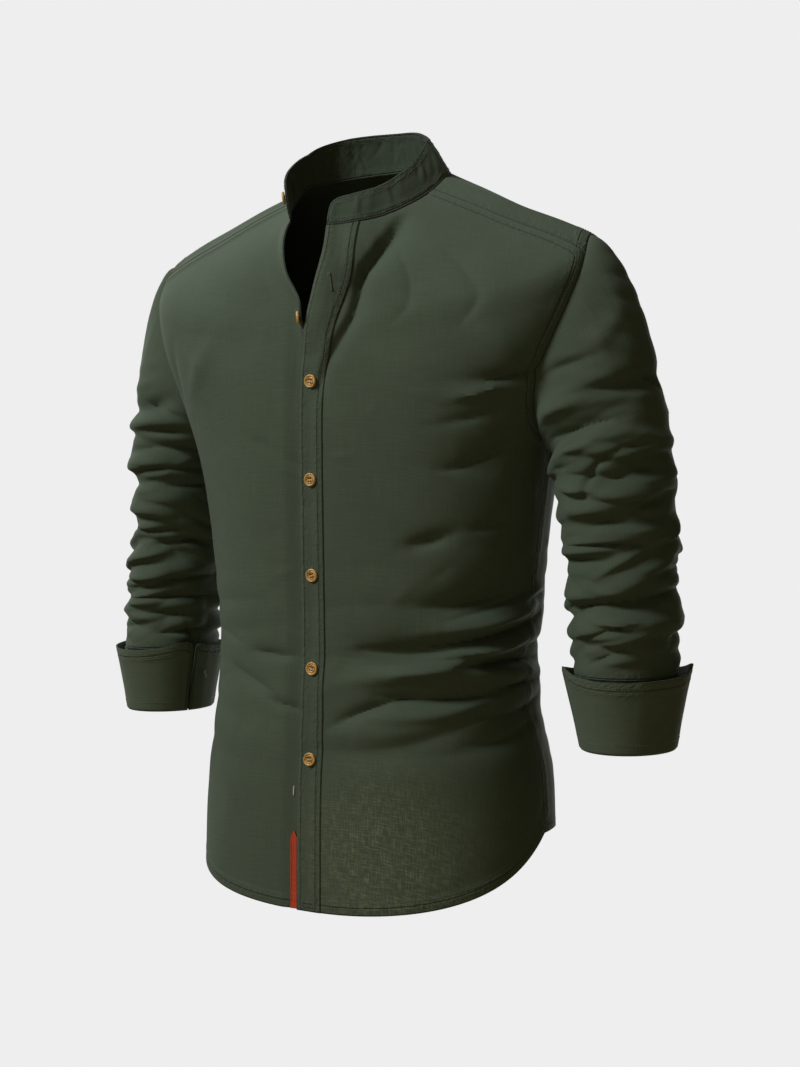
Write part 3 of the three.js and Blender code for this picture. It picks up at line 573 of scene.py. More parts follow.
def trough_depth(phi, level):
    """The neck trough: steep on the placket's side of its line, easy on the other."""
    x, y = phi * DEG * FOLD_RADIUS, level
    line_x, line_y = NECK_TROUGH["phi"] * DEG * FOLD_RADIUS, NECK_TROUGH["level"]
    best = np.full(np.shape(phi), 1e9)
    depth = np.zeros(np.shape(phi))
    for i in range(len(line_x) - 1):
        run_x, run_y = line_x[i + 1] - line_x[i], line_y[i + 1] - line_y[i]
        k = ((x - line_x[i]) * run_x + (y - line_y[i]) * run_y) / (run_x**2 + run_y**2)
        k = np.clip(k, 0, 1)
        off_x, off_y = x - line_x[i] - run_x * k, y - line_y[i] - run_y * k
        gap = np.hypot(off_x, off_y)
        at = {name: mix(NECK_TROUGH[name][i], NECK_TROUGH[name][i + 1], k)
              for name in ("depth", "near", "far")}
        far = off_x * run_y - off_y * run_x > 0
        reach = gap / np.where(far, at["far"], at["near"])
        value = at["depth"] * np.where(far, np.exp(-reach ** 1.4), bell(reach))
        depth = np.where(gap < best, value, depth)
        best = np.minimum(best, gap)
    return depth * ease((level + 3.5) / 6)


def crumple(turn, along, seed, wave, count=44):
    """Random cloth folds round a tube: round-backed waves that meet in narrow valleys."""
    draw = np.random.default_rng(seed)
    field = np.zeros(np.broadcast(turn, along).shape)
    for _ in range(count):
        times = draw.integers(-3, 4)
        rate = 2 * np.pi / (wave * draw.uniform(0.7, 1.6)) * draw.choice([-1, 1])
        field += np.cos(times * turn * DEG + rate * along + draw.uniform(0, 2 * np.pi))
    field *= math.sqrt(2 / count)
    return np.sqrt(field**2 + 0.03) - 0.75


def random_creases():
    """Short creases all over, longer and closer below the waist, in a fixed random order."""
    draw = np.random.default_rng(SEED)
    rows = []
    for _ in range(SMALL_CREASES):
        phi = draw.uniform(-180, 180)
        level = 60 + 560 * draw.uniform() ** 0.8
        tilt = draw.normal(0, 0.5) if level > 330 else draw.normal(0.9, 0.6)
        length = draw.uniform(14, 40)
        rows.append((phi, level, phi + length * math.cos(tilt) / (DEG * FOLD_RADIUS),
                     level + length * math.sin(tilt), draw.uniform(3.5, 8),
                     draw.uniform(0.3, 0.9) * draw.choice([-1, 1]), draw.uniform(-3, 3)))
    return columns("phi level phiEnd levelEnd width height bow", rows)


RANDOM_CREASES = random_creases()


def skin(phi, level):
    """The outer face of the body cloth."""
    phi, level = both(phi, level)
    height = (relief(BODY_FOLDS, phi, level)
              + CREASE_GAIN * relief(BODY_CREASES, phi, level, sharp=1.2)
              - trough_depth(gap_between(phi, 0), level) + relief(RANDOM_CREASES, phi, level))
    pulled = ease((level - 330) / 90) * ease((600 - level) / 60)
    height = height + pulled * (0.25 + 0.75 * np.abs(np.sin(phi * DEG))) * crumple(
        phi, level, SEED + 40, BODY_WAVE)
    point = form(phi, level) + outward(phi, level) * height[..., None]
    point[..., 2] -= 0.2 * np.abs(height) * ease((level - 150) / 100)
    return point


def drop_at(level):
    """How far a level lies below the frame's origin at the centre front."""
    return -column(LEVELS, "frontZ", level)


def under_skin(phi, level):
    """The right front's outer face, which curls forward and then dips behind the left placket."""
    point = skin(phi, level)
    x, drop = point[..., 0], drop_at(np.broadcast_to(level, point.shape[:-1]))
    off = (x - column(RIGHT_EDGE, "free", drop)) / column(RIGHT_CURL, "width", drop)
    curl = column(RIGHT_CURL, "height", drop) * bell(off - CURL_PAST)
    sunk = UNDERLAP["depth"] * ease((x - UNDERLAP["from"]) / (UNDERLAP["to"] - UNDERLAP["from"]))
    return point + outward(phi, level) * (curl - sunk)[..., None]


def raised(surface, amount):
    """A surface moved out by an amount."""
    def surface_above(phi, level):
        return surface(phi, level) + outward(phi, level) * amount
    return surface_above


LAPPED = raised(skin, LAP)


def phi_at(offset, level):
    return np.arcsin(offset / column(LEVELS, "half", level)) / DEG


def edge_phi(edge, name, level, inset=0):
    return phi_at(column(edge, name, drop_at(level)) + inset, level)


def level_at_drop(drop):
    levels = np.linspace(NECK_LEVEL, HEM_LEVEL, 4000)
    return np.interp(drop, drop_at(levels), levels)


def armhole(turn, grow=0):
    """Armhole places by turn: 0 top, 90 front, 180 under the arm. grow is in millimetres."""
    turn = np.asarray(turn, float)
    reach = np.where(np.sin(turn * DEG) > 0, ARMHOLE["front"], ARMHOLE["back"])
    half = (PIT_LEVEL - ARMHOLE["top"]) / 2
    phi = 90 - (reach + grow / ARMHOLE_MM_PER_DEGREE) * np.sin(turn * DEG)
    return phi, ARMHOLE["top"] + half - (half + grow) * np.cos(turn * DEG)


# ---------------------------------------------------------------- grids and meshes

def wrapped(grid, closed=True):
    return np.concatenate([grid, grid[:, :1]], 1) if closed else grid


def grid_normals(grid, closed):
    wide = np.pad(grid, ((0, 0), (1, 1), (0, 0)), "wrap" if closed else "edge")
    tall = np.pad(grid, ((1, 1), (0, 0), (0, 0)), "edge")
    return unit(np.cross(wide[:, 2:] - wide[:, :-2], tall[2:] - tall[:-2]))


def run_length(points, axis=0):
    """Lengths from the first point along one axis of a grid of points."""
    step = np.linalg.norm(np.diff(points, axis=axis), axis=-1)
    return np.concatenate([np.zeros_like(np.take(step, [0], axis)), np.cumsum(step, axis)], axis)


def arc_uv(grid, closed):
    """Metres along the rows and down the columns, for a weave at its real size."""
    along = wrapped(grid, closed)
    return np.stack([run_length(along, 1), run_length(along)], -1) * MM


def straight_uv(grid, start, down, closed=False):
    """Metres along the grain: level round the body from a start, and along a down direction."""
    along = wrapped(grid, closed)
    u = run_length(along[..., :2], 1)
    if closed:
        u = np.broadcast_to(u.mean(0), u.shape)
    return np.stack([u + np.reshape(start, (-1, 1)), along @ np.array(down, float)], -1) * MM


def line_distance(grid, line):
    """How far each grid point is from a line of points, in millimetres."""
    points = grid.reshape(-1, 3)
    start, span = line[:-1], np.diff(line, axis=0)
    length = np.maximum(np.sum(span**2, 1), 1e-9)
    best = np.full(len(points), 1e9)
    for a, s, l in zip(start, span, length):
        k = np.clip((points - a) @ s / l, 0, 1)
        best = np.minimum(best, np.linalg.norm(points - a - k[:, None] * s, axis=1))
    return best.reshape(grid.shape[:-1])


def seam_field(grid, borders):
    """Metres past the nearest row of stitches, and from the nearest seam or edge.

    borders holds (line, offsets): a border line, and how far inside it each stitch row lies.
    """
    stitch = np.full(grid.shape[:-1], 1e3)
    edge = np.full(grid.shape[:-1], 1e3)
    for line, offsets in borders:
        away = line_distance(grid, line)
        edge = np.minimum(edge, away)
        for offset in offsets:
            past = away - offset
            stitch = np.where(np.abs(past) < np.abs(stitch), past, stitch)
    return np.stack([stitch, edge], -1) * MM


def riding(name, mesh):
    """An object on the scene for a mesh, which rides on the row's one body."""
    obj = bpy.data.objects.new(name, mesh)
    bpy.context.scene.collection.objects.link(obj)
    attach(obj, "root")
    return obj


def mesh_object(name, points, faces, material, uvs=None, smooth_angle=50):
    """A piece from points in millimetres. uvs has weave and seam places for each corner."""
    mesh = bpy.data.meshes.new(name)
    mesh.from_pydata((np.asarray(points) * MM).tolist(), [], faces)
    if uvs is not None:
        for layer_name, part in (("weave", uvs[..., :2]), ("seams", uvs[..., 2:])):
            layer = mesh.uv_layers.new(name=layer_name)
            layer.data.foreach_set("uv", np.asarray(part, np.float32).ravel())
    mesh.materials.append(material)
    mesh.shade_smooth()
    mesh.set_sharp_from_angle(angle=smooth_angle * DEG)
    return riding(name, mesh)


def declare(obj, node):
    """A sheet of cloth in place of its CAD solid, which is hidden."""
    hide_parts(node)


def quad_corners(rows, span):
    """The row and column of the four corners of every quad of a grid."""
    r, c = (a.ravel() for a in np.meshgrid(np.arange(rows), np.arange(span), indexing="ij"))
    return [(r, c), (r + 1, c), (r + 1, c + 1), (r, c + 1)]


def turned_out(points, faces, uvs):
    """Faces and their corners' uvs, in the order that makes the volume positive."""
    a, b, c, d = (points[faces[:, i]] for i in range(4))
    way = -1 if np.sum(a * np.cross(b, c)) + np.sum(a * np.cross(c, d)) < 0 else 1
    return faces[:, ::way], uvs[:, ::way], way


def shell(name, outer, wall, away, material, closed=False, uv=None, borders=()):
    """A closed cloth piece from a grid of outer points. away is a rough outward direction."""
    rows, width = outer.shape[:2]
    normals = grid_normals(outer, closed)
    if np.sum(normals * away) < 0:
        normals = -normals
    uv = arc_uv(outer, closed) if uv is None else uv
    uv = np.concatenate([uv, seam_field(wrapped(outer, closed), borders)], -1)
    span = width if closed else width - 1
    sheet = quad_corners(rows - 1, span)
    sets = [(sheet, (0, 0, 0, 0)), (sheet[::-1], (1, 1, 1, 1))]

    def rim(start, end, way):
        sets.append(([start, end, end, start][::way], (0, 0, 1, 1)[::way]))

    r, c = np.arange(rows - 1), np.arange(span)
    for row, way in ((0, 1), (rows - 1, -1)):
        at = np.full(span, row)
        rim((at, c), (at, c + 1), way)
    if not closed:
        for col, way in ((0, -1), (width - 1, 1)):
            at = np.full(rows - 1, col)
            rim((r, at), (r + 1, at), way)
    faces = np.concatenate([np.stack([a * width + b % width + layer * rows * width
                                      for (a, b), layer in zip(*s)], 1) for s in sets])
    uvs = np.concatenate([np.stack([uv[a, b] for a, b in s[0]], 1) for s in sets])
    points = np.concatenate([outer.reshape(-1, 3), (outer - wall * normals).reshape(-1, 3)])
    faces, uvs, _ = turned_out(points, faces, uvs)
    declare(mesh_object(name, points, faces.tolist(), material, uvs), name)


# ---------------------------------------------------------------- materials

def opaque(colour):
    return (*colour, 1) if isinstance(colour, tuple) else colour


class Shader:
    """A node material. Its methods add nodes and hand back their sockets."""

    def __init__(self, name):
        self.material = bpy.data.materials.new(name)
        self.material.use_nodes = True
        self.nodes, self.links = self.material.node_tree.nodes, self.material.node_tree.links
        self.bsdf = self.nodes["Principled BSDF"]

    def feed(self, node, inputs):
        """Values and sockets to a node's inputs, by name or number."""
        for place, value in inputs.items():
            if isinstance(value, bpy.types.NodeSocket):
                self.links.new(value, node.inputs[place])
            else:
                node.inputs[place].default_value = value

    def add(self, kind, inputs, **properties):
        node = self.nodes.new("ShaderNode" + kind)
        for key, value in properties.items():
            setattr(node, key, value)
        self.feed(node, inputs)
        return node

    def noise(self, vector, scale, detail):
        """Noise stretched by a scale in each direction."""
        place = self.add("Mapping", {"Vector": vector, "Scale": scale})
        return self.add("TexNoise", {"Vector": place.outputs["Vector"], "Scale": 1.0,
                                     "Detail": detail, "Roughness": 0.55}).outputs["Fac"]

    def blend(self, factor, a, b):
        """A colour between a and b by factor."""
        inputs = {"Factor": factor, 6: opaque(a), 7: opaque(b)}
        return self.add("Mix", inputs, data_type="RGBA").outputs[2]

    def math(self, operation, *values):
        return self.add("Math", dict(enumerate(values)), operation=operation).outputs[0]

    def sums(self, *terms):
        """A weighted sum of (socket, weight) terms."""
        total = 0.0
        for socket, weight in terms:
            total = self.math("MULTIPLY_ADD", socket, weight, total)
        return total

    def ranged(self, socket, low, high):
        inputs = {"Value": socket, "From Min": low, "From Max": high}
        return self.add("MapRange", inputs).outputs["Result"]

    def peak(self, socket, place, width):
        """1 at a place along a socket's value, falling to 0 a width away on either side."""
        size = self.math("ABSOLUTE", self.math("SUBTRACT", socket, place))
        inputs = {"Value": size, "From Min": 0.0, "From Max": width, "To Min": 1.0, "To Max": 0.0}
        return self.add("MapRange", inputs, interpolation_type="SMOOTHSTEP").outputs["Result"]

    def bump(self, height, strength, distance, **more):
        inputs = {"Height": height, "Strength": strength, "Distance": distance, **more}
        return self.add("Bump", inputs).outputs["Normal"]

    def output(self, node, name, **properties):
        """One output of a node that only reads a place."""
        return self.add(node, {}, **properties).outputs[name]


def cloth_material(name, dark, mid, light, slub=1.0, sheer=None):
    """Plain-weave linen: long slubs both ways, a fine grain, puckered stitch lines and seams."""
    make = Shader(name)
    vector = make.output("UVMap", "UV", uv_map="weave")
    weft, warp = make.noise(vector, (38, 760, 1), 3.0), make.noise(vector, (700, 30, 1), 3.0)
    grain = make.noise(vector, (1500, 1500, 1), 1.0)
    patch = make.noise(vector, (14, 11, 1), 2.0)
    streaks = make.sums((weft, 0.55), (warp, 0.45))
    shade = make.sums((streaks, 0.52), (grain, 0.24), (patch, 0.24))
    wide = 0.16 / slub
    low = make.blend(make.ranged(shade, 0.5 - wide, 0.5), dark, mid)
    colour = make.blend(make.ranged(shade, 0.5, 0.5 + wide), low, light)
    field = make.add("SeparateXYZ", {0: make.output("UVMap", "UV", uv_map="seams")})
    past, edge = field.outputs["X"], field.outputs["Y"]
    line, rim = make.peak(past, 0.0, 0.0011), make.peak(edge, 0.0, 0.0013)
    ridge_highlight, near = make.peak(edge, 0.0022, 0.0012), make.peak(past, 0.0, 0.009)
    pucker = make.math("MULTIPLY", near, make.noise(vector, (210, 210, 1), 1.0))
    shadow = make.sums((line, 0.55), (rim, 0.55))
    colour = make.blend(shadow, colour, tuple(0.3 * c for c in dark))
    # Painted highlight: the seam ridge just inside each seam and edge is lightened towards the
    # light tone
    colour = make.blend(make.sums((ridge_highlight, 0.28)), colour, light)
    if sheer:
        inputs = {0: make.output("TexCoord", "Object"), 1: sheer["centre"]}
        gap = make.add("VectorMath", inputs, operation="DISTANCE").outputs["Value"]
        window = make.ranged(gap, sheer["reach"], 0.3 * sheer["reach"])
        across = make.ranged(make.noise(vector, (90, 900, 1), 1.0), 0.5, 0.66)
        upright = make.ranged(make.noise(vector, (900, 90, 1), 1.0), 0.5, 0.66)
        threads = make.sums((across, 0.6), (upright, 0.52))
        colour = make.blend(make.math("MULTIPLY", window, threads), colour, sheer["colour"])
    weave = make.bump(make.sums((streaks, 1.0), (grain, 0.35)), 0.5, 0.0005)
    sewn = make.sums((line, -0.45), (rim, -0.5), (pucker, 0.9))
    make.feed(make.bsdf, {
        "Base Color": colour, "Roughness": 0.9, "Specular IOR Level": 0.2, "Sheen Weight": 0.12,
        "Sheen Roughness": 0.5, "Sheen Tint": (0.62, 0.74, 0.68, 1),
        "Normal": make.bump(sewn, 1.0, 0.0016, Normal=weave)})
    return make.material


def thread_material(name, colour):
    make = Shader(name)
    twist = make.noise(make.output("TexCoord", "Object"), (2600, 2600, 2600), 1.0)
    make.feed(make.bsdf, {"Base Color": make.blend(twist, tuple(0.6 * c for c in colour), colour),
                          "Roughness": 0.7, "Sheen Weight": 0.3})
    return make.material


def wood_material():
    """Pale turned wood: fine grain lines along one direction, and a satin coat."""
    make = Shader("button_wood")
    place = make.output("TexCoord", "Object")
    grain = make.noise(place, (1500, 1500, 190), 3.0)
    patch = make.noise(place, (160, 160, 60), 2.0)
    shade = make.ranged(make.sums((grain, 0.65), (patch, 0.35)), 0.36, 0.64)
    make.feed(make.bsdf, {
        "Base Color": make.blend(shade, (0.38, 0.20, 0.05), (0.78, 0.49, 0.17)),
        "Roughness": 0.42, "Coat Weight": 0.25, "Coat Roughness": 0.3,
        "Normal": make.bump(grain, 0.3, 0.0002)})
    return make.material


# Where the open weave shows, low on the left front
SHEER = {"centre": (0.078, -0.112, -0.648), "reach": 0.108, "colour": (0.16, 0.175, 0.10)}
LINEN = cloth_material("linen", (0.048, 0.062, 0.041), (0.063, 0.083, 0.055),
                       (0.083, 0.107, 0.074), 0.7, SHEER)
# The collar's linen is a darker copy of the body's linen: painted shade for the shade that falls on
# the standing band
SHADE_PAINTED_COLLAR_CLOTH = cloth_material("collar_cloth_painted_shade", (0.038, 0.050, 0.033), (0.050, 0.066, 0.044),
                              (0.070, 0.091, 0.063), 0.7)
# The cuffs' linen is a lighter copy of the body's linen: painted light for the light that falls on
# the cuffs
LIGHT_PAINTED_CUFF_CLOTH = cloth_material("cuff_cloth_painted_light", (0.060, 0.076, 0.050), (0.079, 0.102, 0.067),
                            (0.103, 0.131, 0.090), 0.7)
TAPE_CLOTH = cloth_material("tape_weave", (0.30, 0.03, 0.012), (0.50, 0.055, 0.022),
                            (0.62, 0.12, 0.05))
LABEL_CLOTH = cloth_material("label_weave", (0.015, 0.018, 0.014), (0.022, 0.026, 0.02),
                             (0.035, 0.04, 0.032), 0.6)
THREAD = thread_material("green_thread", (0.085, 0.1, 0.078))
DARK_THREAD = thread_material("dark_thread", (0.02, 0.022, 0.018))
PALE_THREAD = thread_material("pale_thread", (0.55, 0.57, 0.52))
WOOD = wood_material()


# ---------------------------------------------------------------- body

FRONT_TURNS = mix(ARMHOLE["shoulder"], 180, steps(44))
BACK_TURNS = mix(ARMHOLE["yoke"], -180, steps(36))
YOKE_TURNS = mix(ARMHOLE["shoulder"], ARMHOLE["yoke"], steps(18))
SIDE_LEVELS = np.concatenate([np.linspace(a, b, n + 1)[1:] for a, b, n in (
    (PIT_LEVEL, 395, 48), (395, 545, 84), (545, HEM_LEVEL, 32))])
SIDE_PHI = np.full(len(SIDE_LEVELS), 90.0)
FRONT_COLUMNS = steps(104) ** 1.15
BACK_COLUMNS = steps(170)


def front_rows():
    """Where each row of a front ends at its outer side, and its level at the centre."""
    end_phi, end_level = armhole(ARMHOLE["shoulder"])
    k = steps(44)[:-1]
    arm_phi, arm_level = armhole(FRONT_TURNS)
    phi = np.concatenate([mix(SHOULDER_SEAM_NECK, end_phi, k), arm_phi, SIDE_PHI])
    level = np.concatenate([mix(NECK_LEVEL, end_level, k), arm_level, SIDE_LEVELS])
    inner = level.copy()
    inner[len(k):len(k) + len(FRONT_TURNS)] = mix(end_level, PIT_LEVEL,
                                                  steps(len(FRONT_TURNS) - 1))
    return phi, level, inner


ROW_PHI, ROW_LEVEL, ROW_INNER = front_rows()


def front(name, edge, surface, side):
    start = edge_phi(edge, "seam", ROW_INNER)
    phi = mix(start[:, None], side * ROW_PHI[:, None], FRONT_COLUMNS)
    level = mix(ROW_INNER[:, None], ROW_LEVEL[:, None], FRONT_COLUMNS)
    outer, out = surface(phi, level), outward(phi, level)
    near_arm = np.zeros(phi.shape)
    arm = (ROW_LEVEL <= PIT_LEVEL) & (ROW_PHI != 90)
    from_edge = np.linalg.norm(outer - outer[:, -1:], axis=2)
    near_arm[arm] = np.exp(-(from_edge[arm] / 9) ** 6)
    outer = outer + out * (LAP * near_arm)[..., None]
    end = outer[:, -1]
    shell(name, outer, CLOTH, out, LINEN, uv=straight_uv(outer, outer[:, 0, 0] * side, FRONT_FALL),
          borders=[(outer[0], ()), (end[arm], (ARM_STITCH,)), (end[~arm], ()),
                   (outer[-1], (HEM_STITCH,))])


def strip(name, edge, surface, across, *rows):
    """A placket strip. rows says how far in from each long edge its stitches lie."""
    free, seam = (edge_phi(edge, side, ROW_INNER)[:, None] for side in ("free", "seam"))
    phi = mix(free, seam, across)
    level = np.broadcast_to(ROW_INNER[:, None], phi.shape)
    outer = surface(phi, level)
    shell(name, outer, BAND, outward(phi, level), LINEN,
          uv=straight_uv(outer, outer[:, 0, 0], FRONT_FALL),
          borders=[(outer[:, col], (row,)) for col, row in zip((0, -1), rows)]
          + [(outer[-1], (HEM_STITCH,))])


def back_place(past, k, phi, level):
    """A place across the back, where past is 0 at the yoke's seam and 1 under the arm."""
    middle = np.where(past < 1, mix(YOKE_BACK_LEVEL, PIT_LEVEL, past), level)
    share = np.sin(0.5 * np.pi * (1 - np.abs(1 - 2 * k)))
    return mix(phi, 360 - phi, k), mix(level, middle, share)


def back_panel():
    arm_phi, arm_level = armhole(BACK_TURNS)
    phi = np.concatenate([arm_phi, SIDE_PHI])[:, None]
    level = np.concatenate([arm_level, SIDE_LEVELS])[:, None]
    arm = len(BACK_TURNS)
    past = (np.arange(len(phi)) / (arm - 1))[:, None]
    phi, level = back_place(past, BACK_COLUMNS[None], phi, level)
    outer = skin(phi, level)
    borders = [(outer[0], ()), (outer[-1], (HEM_STITCH,))]
    borders += [(outer[:arm, side], (ARM_STITCH,)) for side in (0, -1)]
    borders += [(outer[arm:, side], SIDE_STITCHES) for side in (0, -1)]
    shell("back", outer, CLOTH, outward(phi, level), LINEN,
          uv=straight_uv(outer, 0, BACK_FALL), borders=borders)


def yoke_places():
    """Where the yoke starts at the neck, and where it ends at armholes and back seam."""
    turn_phi, turn_level = armhole(YOKE_TURNS)
    left_neck = mix(SHOULDER_SEAM_NECK, YOKE_NECK_CORNER, steps(len(YOKE_TURNS) - 1))
    k = BACK_COLUMNS[1:-1]
    seam_phi, seam_level = back_place(np.zeros(1), k, *armhole(ARMHOLE["yoke"]))
    neck = np.concatenate([left_neck, mix(YOKE_NECK_CORNER, 360 - YOKE_NECK_CORNER, k),
                           360 - left_neck[::-1]])
    phi = np.concatenate([turn_phi, seam_phi, 360 - turn_phi[::-1]])
    level = np.concatenate([turn_level, seam_level, turn_level[::-1]])
    return neck, phi, level


def yoke():
    neck, end_phi, end_level = yoke_places()
    k = steps(34)[:, None]
    phi = mix(neck[None], end_phi[None], k)
    level = mix(NECK_LEVEL, end_level[None], k)
    outer = LAPPED(phi, level)
    n = len(YOKE_TURNS)
    borders = [(outer[-1, :n], (ARM_STITCH,)), (outer[-1, -n:], (ARM_STITCH,)),
               (outer[-1, n - 1:1 - n], (YOKE_STITCH,)), (outer[:, 0], (2.0,)),
               (outer[:, -1], (2.0,)), (outer[0], ())]
    uv = np.stack([outer[..., 0], 0.8 * outer[..., 1] - 0.6 * outer[..., 2]], -1) * MM
    shell("yoke", outer, CLOTH, outward(phi, level), LINEN, uv=uv, borders=borders)


# ---------------------------------------------------------------- collar

def level_away(points, centre):
    """Level directions away from an upright line through a centre."""
    away = points - np.asarray(centre, float)
    away[..., 2] = 0
    return unit(away)


def collar_base(phi):
    level = np.full(np.shape(phi), float(NECK_LEVEL))
    return np.where((phi > 270)[..., None], under_skin(phi - 360, level), skin(phi, level))


def collar_point(phi, share, base):
    lean, height = (column(COLLAR_SHAPE, name, phi)[..., None] for name in ("lean", "height"))
    share = np.asarray(share)[..., None]
    inward = lean * share - np.sin(np.pi * share) * COLLAR_BULGE
    return base - level_away(base, NECK_CENTRE) * inward + np.array([0, 0, 1]) * height * share


def collar_grid():
    """The band's grid with its rounded front ends, and the length along its foot."""
    phi = np.linspace(edge_phi(LEFT_EDGE, "free", NECK_LEVEL),
                      edge_phi(RIGHT_EDGE, "free", NECK_LEVEL) + 360, 420)
    base = collar_base(phi)
    run = run_length(base)
    near = np.minimum(np.minimum(run, run[-1] - run), COLLAR_CORNER) / COLLAR_CORNER
    keep = 1 - COLLAR_CORNER_CUT * (1 - np.sqrt(1 - (1 - near) ** 2))
    k = steps(COLLAR_ROWS)[:, None]
    grid = collar_point(np.broadcast_to(phi, (COLLAR_ROWS + 1, len(phi))), k * keep, base)
    reach, sigma, place, wide = COLLAR_EVEN
    around = np.exp(-0.5 * (np.arange(-reach, reach + 1) / sigma) ** 2)
    top = np.pad(grid[-1, :, 2], reach, mode="edge")
    even = np.convolve(top, around / around.sum(), mode="valid")
    grid[..., 2] += k * ((even - grid[-1, :, 2]) * bell((phi - place) / wide))
    return phi, run, grid


def collar_creases(phi, share):
    """Small creases of the standing band, mostly upright, sharper inside the back."""
    draw = np.random.default_rng(SEED + 1)
    height = np.zeros(np.broadcast(phi, share).shape)
    for count, places, tilt, widths, heights, middles, reaches, power in COLLAR_CREASES:
        for _ in range(count):
            place, slope = draw.uniform(*places), draw.normal(0, tilt)
            wide, tall = draw.uniform(*widths), draw.uniform(*heights) * draw.choice([-1, 1])
            middle, reach = draw.uniform(*middles), draw.uniform(*reaches)
            off = np.abs(phi - place - slope * (share - middle)) / wide
            height += tall * np.exp(-off**power) * bell((share - middle) / reach)
    return height


def collar():
    phi, _, grid = collar_grid()
    away = level_away(grid, NECK_CENTRE)
    share = steps(COLLAR_ROWS)[:, None]
    height = collar_creases(np.broadcast_to(phi, grid.shape[:2]), share)
    height = height * np.minimum(1, 4 * share) * np.minimum(1, 4 * (1 - share))
    grid = grid + away * height[..., None]
    rim = np.concatenate([grid[:, 0], grid[-1], grid[::-1, -1]])
    shell("collar", grid, COLLAR_WALL, away, SHADE_PAINTED_COLLAR_CLOTH,
          borders=[(line, (COLLAR_STITCH,)) for line in (rim, grid[0])])


# ---------------------------------------------------------------- sleeves

SLEEVE_TURNS = np.linspace(0, 360, 150, endpoint=False) + ARMHOLE["shoulder"]
CAP_STEPS = 50
TUBE_STEPS = 120


def tube_point(side, turn, z, tilt):
    arm = "left" if side > 0 else "right"
    half, middle = (column(SLEEVE_SECTIONS, arm + name, z) for name in ("Half", "X"))
    y = column(SLEEVE_SECTIONS, "y", z) - column(SLEEVE_SECTIONS, "halfY", z) * np.sin(turn * DEG)
    x = middle + half * np.cos(turn * DEG)
    return np.stack([side * x, y, z + tilt * np.cos(turn * DEG)], -1)


def roll_height(rolls, turn, z):
    height = np.zeros(np.broadcast(turn, z).shape)
    for roll in rows_of(rolls):
        gap = gap_between(turn, roll["turn"])
        fade = np.where(np.abs(gap) < roll["spread"],
                        np.cos(0.5 * np.pi * np.clip(gap / roll["spread"], -1, 1)), 0)
        line = roll["z"] + roll["tilt"] * gap * DEG
        power = 2.4 if roll["height"] > 0 else 1.4
        height += roll["height"] * fade * np.exp(-np.abs((z - line) / roll["width"]) ** power)
    return height


def small_rolls(side):
    """Fine creases of the pushed-up sleeve, in a fixed random order."""
    draw = np.random.default_rng(SEED + 5 + side)
    return columns("z turn spread tilt width height", [
        (draw.uniform(-470, -150), draw.uniform(-180, 180), draw.uniform(14, 50),
         draw.normal(0, 16), draw.uniform(2.6, 5), draw.uniform(0.4, 1.3) * draw.choice([-1, 1]))
        for _ in range(90)])


def cap_points(side, turn, k):
    """The sleeve's cap, from the armhole to the top of its tube."""
    phi, level = armhole(turn)
    start = skin(side * phi, level)
    end = tube_point(side, turn, np.full(turn.shape, float(SLEEVE_TOP)), SLEEVE_TOP_TILT)
    span = end - start
    length = np.linalg.norm(span, axis=-1, keepdims=True)
    lean = (CAP_LEAN * (0.5 + 0.5 * np.cos(turn * DEG)))[..., None]
    leave = unit(unit(span) + outward(side * phi, level) * lean)
    k = k[:, None, None]
    arrive = np.array([0, 0, -1.0])
    return (start * (1 + 2 * k) * (1 - k) ** 2 + leave * CAP_START * length * k * (1 - k) ** 2
            + end * k * k * (3 - 2 * k) + arrive * CAP_END * length * k * k * (k - 1))


def sleeve(name, side, rolls, pleats):
    turns = SLEEVE_TURNS[None]
    k = steps(TUBE_STEPS)[1:, None]
    z = np.broadcast_to(mix(SLEEVE_TOP, SLEEVE_END, k), (TUBE_STEPS, len(SLEEVE_TURNS)))
    smooth = np.concatenate([cap_points(side, SLEEVE_TURNS, steps(CAP_STEPS)),
                             tube_point(side, turns, z, SLEEVE_TOP_TILT * (1 - ease(k * 1.6)))])
    normals = grid_normals(smooth, True)
    if np.sum(normals * (smooth - smooth.mean(1, keepdims=True))) < 0:
        normals = -normals
    share = np.concatenate([steps(CAP_STEPS), 1 + steps(TUBE_STEPS)[1:]])[:, None]
    settled = ease(share / 0.6) * ease((2 - share) / 0.1)
    z = smooth[..., 2]
    height = roll_height(rolls, turns, z) + roll_height(small_rolls(side), turns, z)
    height = height + PLEAT_GAIN * relief(pleats, turns, z, ARM_RADIUS, 1.2)
    pushed = 0.3 + 0.7 * ease((-200 - z) / 110)
    height = height + 2.4 * pushed * crumple(turns, z, SEED + 20 + side, SLEEVE_WAVE)
    height = height * settled
    grid = smooth + normals * height[..., None]
    grid[..., 2] -= DROOP * np.maximum(height, -2)
    rim = wrapped(grid)
    shell(name, grid, CLOTH, normals, LINEN, closed=True, borders=[(rim[0], ()), (rim[-1], (2.0,))],
          uv=straight_uv(grid, 0, (0.5 * side, 0, -0.85), closed=True))


# ---------------------------------------------------------------- cuffs

CUFF_SWEEP = 360 - 2 * CUFF["slitHalf"]
CUFF_START = CUFF["slit"] + CUFF["slitHalf"]


def cuff_centre(side):
    return [CUFF["leftX"] if side > 0 else -CUFF["rightX"], CUFF["y"], 0]


